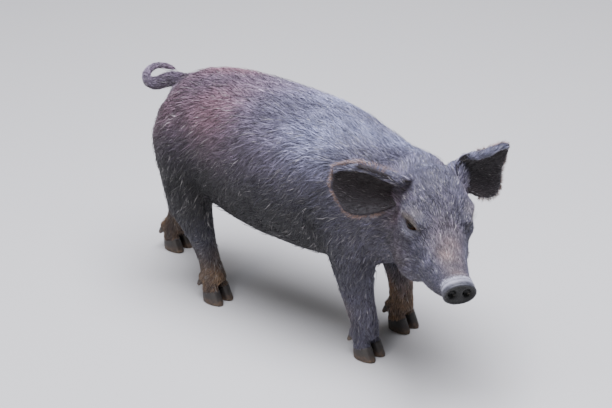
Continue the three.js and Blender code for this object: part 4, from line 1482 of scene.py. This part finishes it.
def tuft_points(name, chance, chosen, roots, ways, on_rim):
    """The seven points of each tuft, kept inside the box of the solids."""
    _, length, width, middle_height, tip_height = COATS[name]
    count, normals, short = len(roots), quad_normals[chosen], shortness[chosen]
    loose = chance.random(count) < LOOSE_SHARE
    size = length * MM * short * chance.uniform(0.65, 1.3, count) * np.where(loose, 1.35, 1)
    lift = (0.4 + 0.6 * short) * chance.uniform(0.5, 1.5, count) * np.where(loose, 2.1, 1)
    root, _ = lifted(roots, -ROOT_DEPTH)
    waist, waist_normal = lifted(roots + ways * size[:, None] * MIDDLE_SHARE, middle_height * MM * lift)
    bend = np.cross(ways, waist_normal) * (chance.normal(0, 0.12, count) * size)[:, None]
    tip, _ = lifted(waist + ways * size[:, None] * (1 - MIDDLE_SHARE) + bend, tip_height * MM * lift)
    fringe = on_rim * chance.uniform(2, 8, count) * MM
    out = ear_way[skin_quads[chosen, 0]]
    out = out / np.maximum(np.linalg.norm(out, axis=1, keepdims=True), 1e-9)
    waist += out * (0.4 * fringe)[:, None]
    tip += out * fringe[:, None]
    half = (width * MM * (0.5 + 0.5 * short) * chance.uniform(0.6, 1.25, count))[:, None] / 2
    side = np.cross(flattened(waist - root, normals), normals)
    points = np.stack([
        root - side * half * 0.7, root + side * half * 0.7, root + normals * half * 0.6,
        waist - side * half, waist + side * half, waist + waist_normal * half * 0.8, tip,
    ], 1).reshape(-1, 3)
    return np.clip(points, np.array(solid_box[0]) + [0, 0, 0.2 * MM], solid_box[1])


def tuft_triangles(count):
    """The nine triangles of each tuft: six walls, and three that close in the point."""
    first = np.arange(count)[:, None, None] * POINTS_PER_TUFT
    return (np.array(WALLS + POINT)[None] + first).reshape(-1, 3)


print("a tuft has", POINTS_PER_TUFT, "points and", len(tuft_triangles(1)), "triangles")

# %% [markdown]
# Each tuft has the marking of its root, a little lighter or darker than its neighbours.
# Locks share a tone, some bristles are pale, and the fringe of the ears is brown. Along
# its length, a tuft goes from a root darkened with painted shade, as the coat shades its
# own base, to a lighter tip.

# %% The colour of a tuft
PALE_SHARE = {"face": 0.14, "right cheek": 0.16, "left cheek": 0.16, "ears": 0.05, "belly": 0.05}
PALE_ELSEWHERE = 0.08
HEAD_SPREAD, BODY_SPREAD = 0.42, 0.32  # how much single tufts differ in tone
# Painted shade at the root, lighter towards the tip.
ROOT_TO_TIP = np.array([0.55, 0.55, 0.6, 1, 1, 1.05, 1.3])  # for the seven points


def tuft_colours(name, seed, chance, chosen, roots, on_rim):
    """One colour for each point of each tuft."""
    count = len(roots)
    shade = marking(roots, in_ear[skin_quads[chosen, 0]])
    is_pale = chance.random(count) < PALE_SHARE.get(name, PALE_ELSEWHERE)
    shade = blend(shade, PALE_BRISTLE, is_pale * chance.uniform(0.15, 0.7, count))
    shade = blend(shade, EAR_RIM, on_rim * 0.85)
    locks = 0.2 * waves(roots, 12 * MM, seed + 50) + 0.12 * waves(roots, 40 * MM, seed + 60)
    spread = HEAD_SPREAD if name == "face" or name in CHEEKS else BODY_SPREAD
    shade *= np.exp(chance.normal(-0.05, spread, count) + locks)[:, None]
    return np.clip((shade[:, None, :] * ROOT_TO_TIP[None, :, None]).reshape(-1, 3), 0.001, 1)


print("one bristle in", round(1 / PALE_SHARE["face"]), "is pale on the face")

# %% [markdown]
# A texture of the coat needs a map in which each tuft is one small patch. The patch sits
# at the root's place on the region rolled flat round its own long axis, so that tufts
# that are neighbours on the animal are neighbours on the map.

# %% A map for each piece of the coat
PATCH = 0.0015  # half the size of a tuft's patch, the whole map being 1 wide
PATCH_SHAPE = np.array([[-1, -1], [1, -1], [0, -1], [-1, 0.3], [1, 0.3], [0, 0.3], [0, 1]]) * PATCH


def map_of(roots):
    """Each tuft's seven places on the map."""
    centre = roots.mean(0)
    spread = np.linalg.svd((roots - centre)[::5], full_matrices=False)[2]
    along = (roots - centre) @ spread[0]
    round_axis = np.arctan2((roots - centre) @ spread[1], (roots - centre) @ spread[2])
    flat = np.stack([along, round_axis], 1)
    flat = (flat - flat.min(0)) / (flat.max(0) - flat.min(0))
    spot = flat * 0.98 + 0.01
    return (spot[:, None, :] + PATCH_SHAPE[None]).reshape(-1, 2)


print("a patch is", 2 * PATCH, "of the map wide")

# %% [markdown]
# With all of this ready the coat grows, one piece for each region. Every region has a
# seed of its own, so it comes out the same each time.

# %% Grow the coat
FIRST_SEED = 100
coat_pieces, tufts = [], 0
for number, name in enumerate(COATS):
    seed = FIRST_SEED + number
    chance = np.random.default_rng(seed)
    chosen, roots = scatter(name, chance)
    ways = combed(name, seed, chance, chosen, roots)
    on_rim = smooth_step(rim[skin_quads[chosen, 0]], 0.9, 0.97) * (name == "ears")
    points = tuft_points(name, chance, chosen, roots, ways, on_rim)
    triangles = tuft_triangles(len(roots))
    piece = new_piece("coat_" + name.replace(" ", "_"), points, triangles)
    paint(piece, tuft_colours(name, seed, chance, chosen, roots, on_rim))
    unwrapped = piece.data.uv_layers.new(name="OFBake")
    map_places = map_of(roots)[triangles.reshape(-1)]
    unwrapped.uv.foreach_set("vector", map_places.astype(np.float32).ravel())
    coat_pieces.append(piece)
    tufts += len(roots)
    print(f"{name:15s} {len(roots):6d} tufts")
print("in all", tufts, "tufts,", tufts * TRIANGLES_PER_TUFT, "triangles")

# %% [markdown]
# Bristle is keratin too. Each tuft carries its own colour, darker at the root with painted
# shade. The satin surface catches the sky along the back, and a little sheen stands for the
# finer down.

# %% Bristle material
bristle, tree, surface = new_material("pig bristle", {
    "Roughness": 0.4, "IOR": 1.55, "Specular IOR Level": 0.4, "Sheen Weight": 0.06,
})
place = add_node(tree, "TexCoord").outputs["Object"]
colour = add_node(tree, "Attribute", attribute_name="marking").outputs["Color"]
strands = add_node(tree, "TexNoise", {"Vector": place, "Scale": metres(3), "Detail": 2.0})
streaked = add_node(tree, "Mix", {FACTOR: 0.5, FIRST: colour, SECOND: strands.outputs[0]}, **SOFT_LIGHT)
tree.links.new(streaked.outputs[MIXED], surface.inputs["Base Color"])
for piece in coat_pieces + [lashes_piece]:
    piece.data.materials.append(bristle)
print(bristle.name, "on", len(coat_pieces) + 1, "pieces")

# %% [markdown]
# The camera stands ahead of the pig's right shoulder and looks down on it, as a person
# does who meets a young pig in a field. A long lens from almost three metres keeps the
# proportions natural. A camera looks along its own -Z with +Y up, so it is turned that
# way first and then rolled a little.

# %% Camera
CAMERA_AZIMUTH, CAMERA_ELEVATION, CAMERA_ROLL = 39.48, 26.03, -1.166  # degrees
CAMERA_DISTANCE = 2.962
CAMERA_AIM = Vector((-0.0028, -0.0018, 0.2))
FRAME_WIDTH_PX, FOCAL_LENGTH_PX = 612, 2000
SENSOR_WIDTH = 36  # millimetres, as the lens is
azimuth, elevation = math.radians(CAMERA_AZIMUTH), math.radians(CAMERA_ELEVATION)
back = Vector((
    math.sin(azimuth) * math.cos(elevation),
    -math.cos(azimuth) * math.cos(elevation),
    math.sin(elevation),
))
lens = bpy.data.cameras.new("camera")
lens.sensor_width = SENSOR_WIDTH
lens.lens = FOCAL_LENGTH_PX / FRAME_WIDTH_PX * lens.sensor_width
camera = bpy.data.objects.new("camera", lens)
bpy.context.scene.collection.objects.link(camera)
bpy.context.scene.camera = camera
camera.location = CAMERA_AIM + back * CAMERA_DISTANCE
camera.rotation_mode = "QUATERNION"
level_view = (-back).to_track_quat("-Z", "Y")
roll = Matrix.Rotation(math.radians(CAMERA_ROLL), 3, "Z").to_quaternion()
camera.rotation_quaternion = level_view @ roll
print("lens of", round(lens.lens, 1), "mm at", CAMERA_DISTANCE, "m")

# %% [markdown]
# The pig stands on a sheet of pale studio paper. Uncoated paper scatters light evenly and
# has hardly any shine, so its roughness is high.

# %% Floor
bpy.ops.mesh.primitive_plane_add(size=8)
floor = bpy.context.object
floor.name = "floor"
paper, _, _ = new_material("pale studio paper", {"Base Color": (*linear("#c9c7c2"), 1), "Roughness": 0.9})
floor.data.materials.append(paper)
print("a floor of", round(floor.dimensions.x), "m")

# %% [markdown]
# An overcast sky is one very large soft light from above with a cool tint, and a dim world
# fills the shadows. A small warm window, low on the pig's right, gives the eye a glint.

# %% Lights
def area_light(name, place, size, power, colour):
    """A square light that shines at the pig."""
    lamp = bpy.data.lights.new(name, "AREA")
    lamp.energy, lamp.size, lamp.color = power, size, linear(colour)
    light = bpy.data.objects.new(name, lamp)
    bpy.context.scene.collection.objects.link(light)
    light.location = place
    light.rotation_mode = "QUATERNION"
    light.rotation_quaternion = (Vector((0, 0, 0.2)) - light.location).to_track_quat("-Z", "Y")


world = bpy.data.worlds.new("studio")
bpy.context.scene.world = world
world.use_nodes = True
world.node_tree.nodes["Background"].inputs[0].default_value = (*linear("#d4d6e0"), 1)
world.node_tree.nodes["Background"].inputs[1].default_value = 0.28
area_light("overcast sky", (0.3, -0.3, 3.0), 2.4, 300, "#eef0ff")
area_light("soft window", (0.4, -2.9, 0.45), 0.35, 16, "#fff4e8")
print(len(bpy.data.lights), "lights")
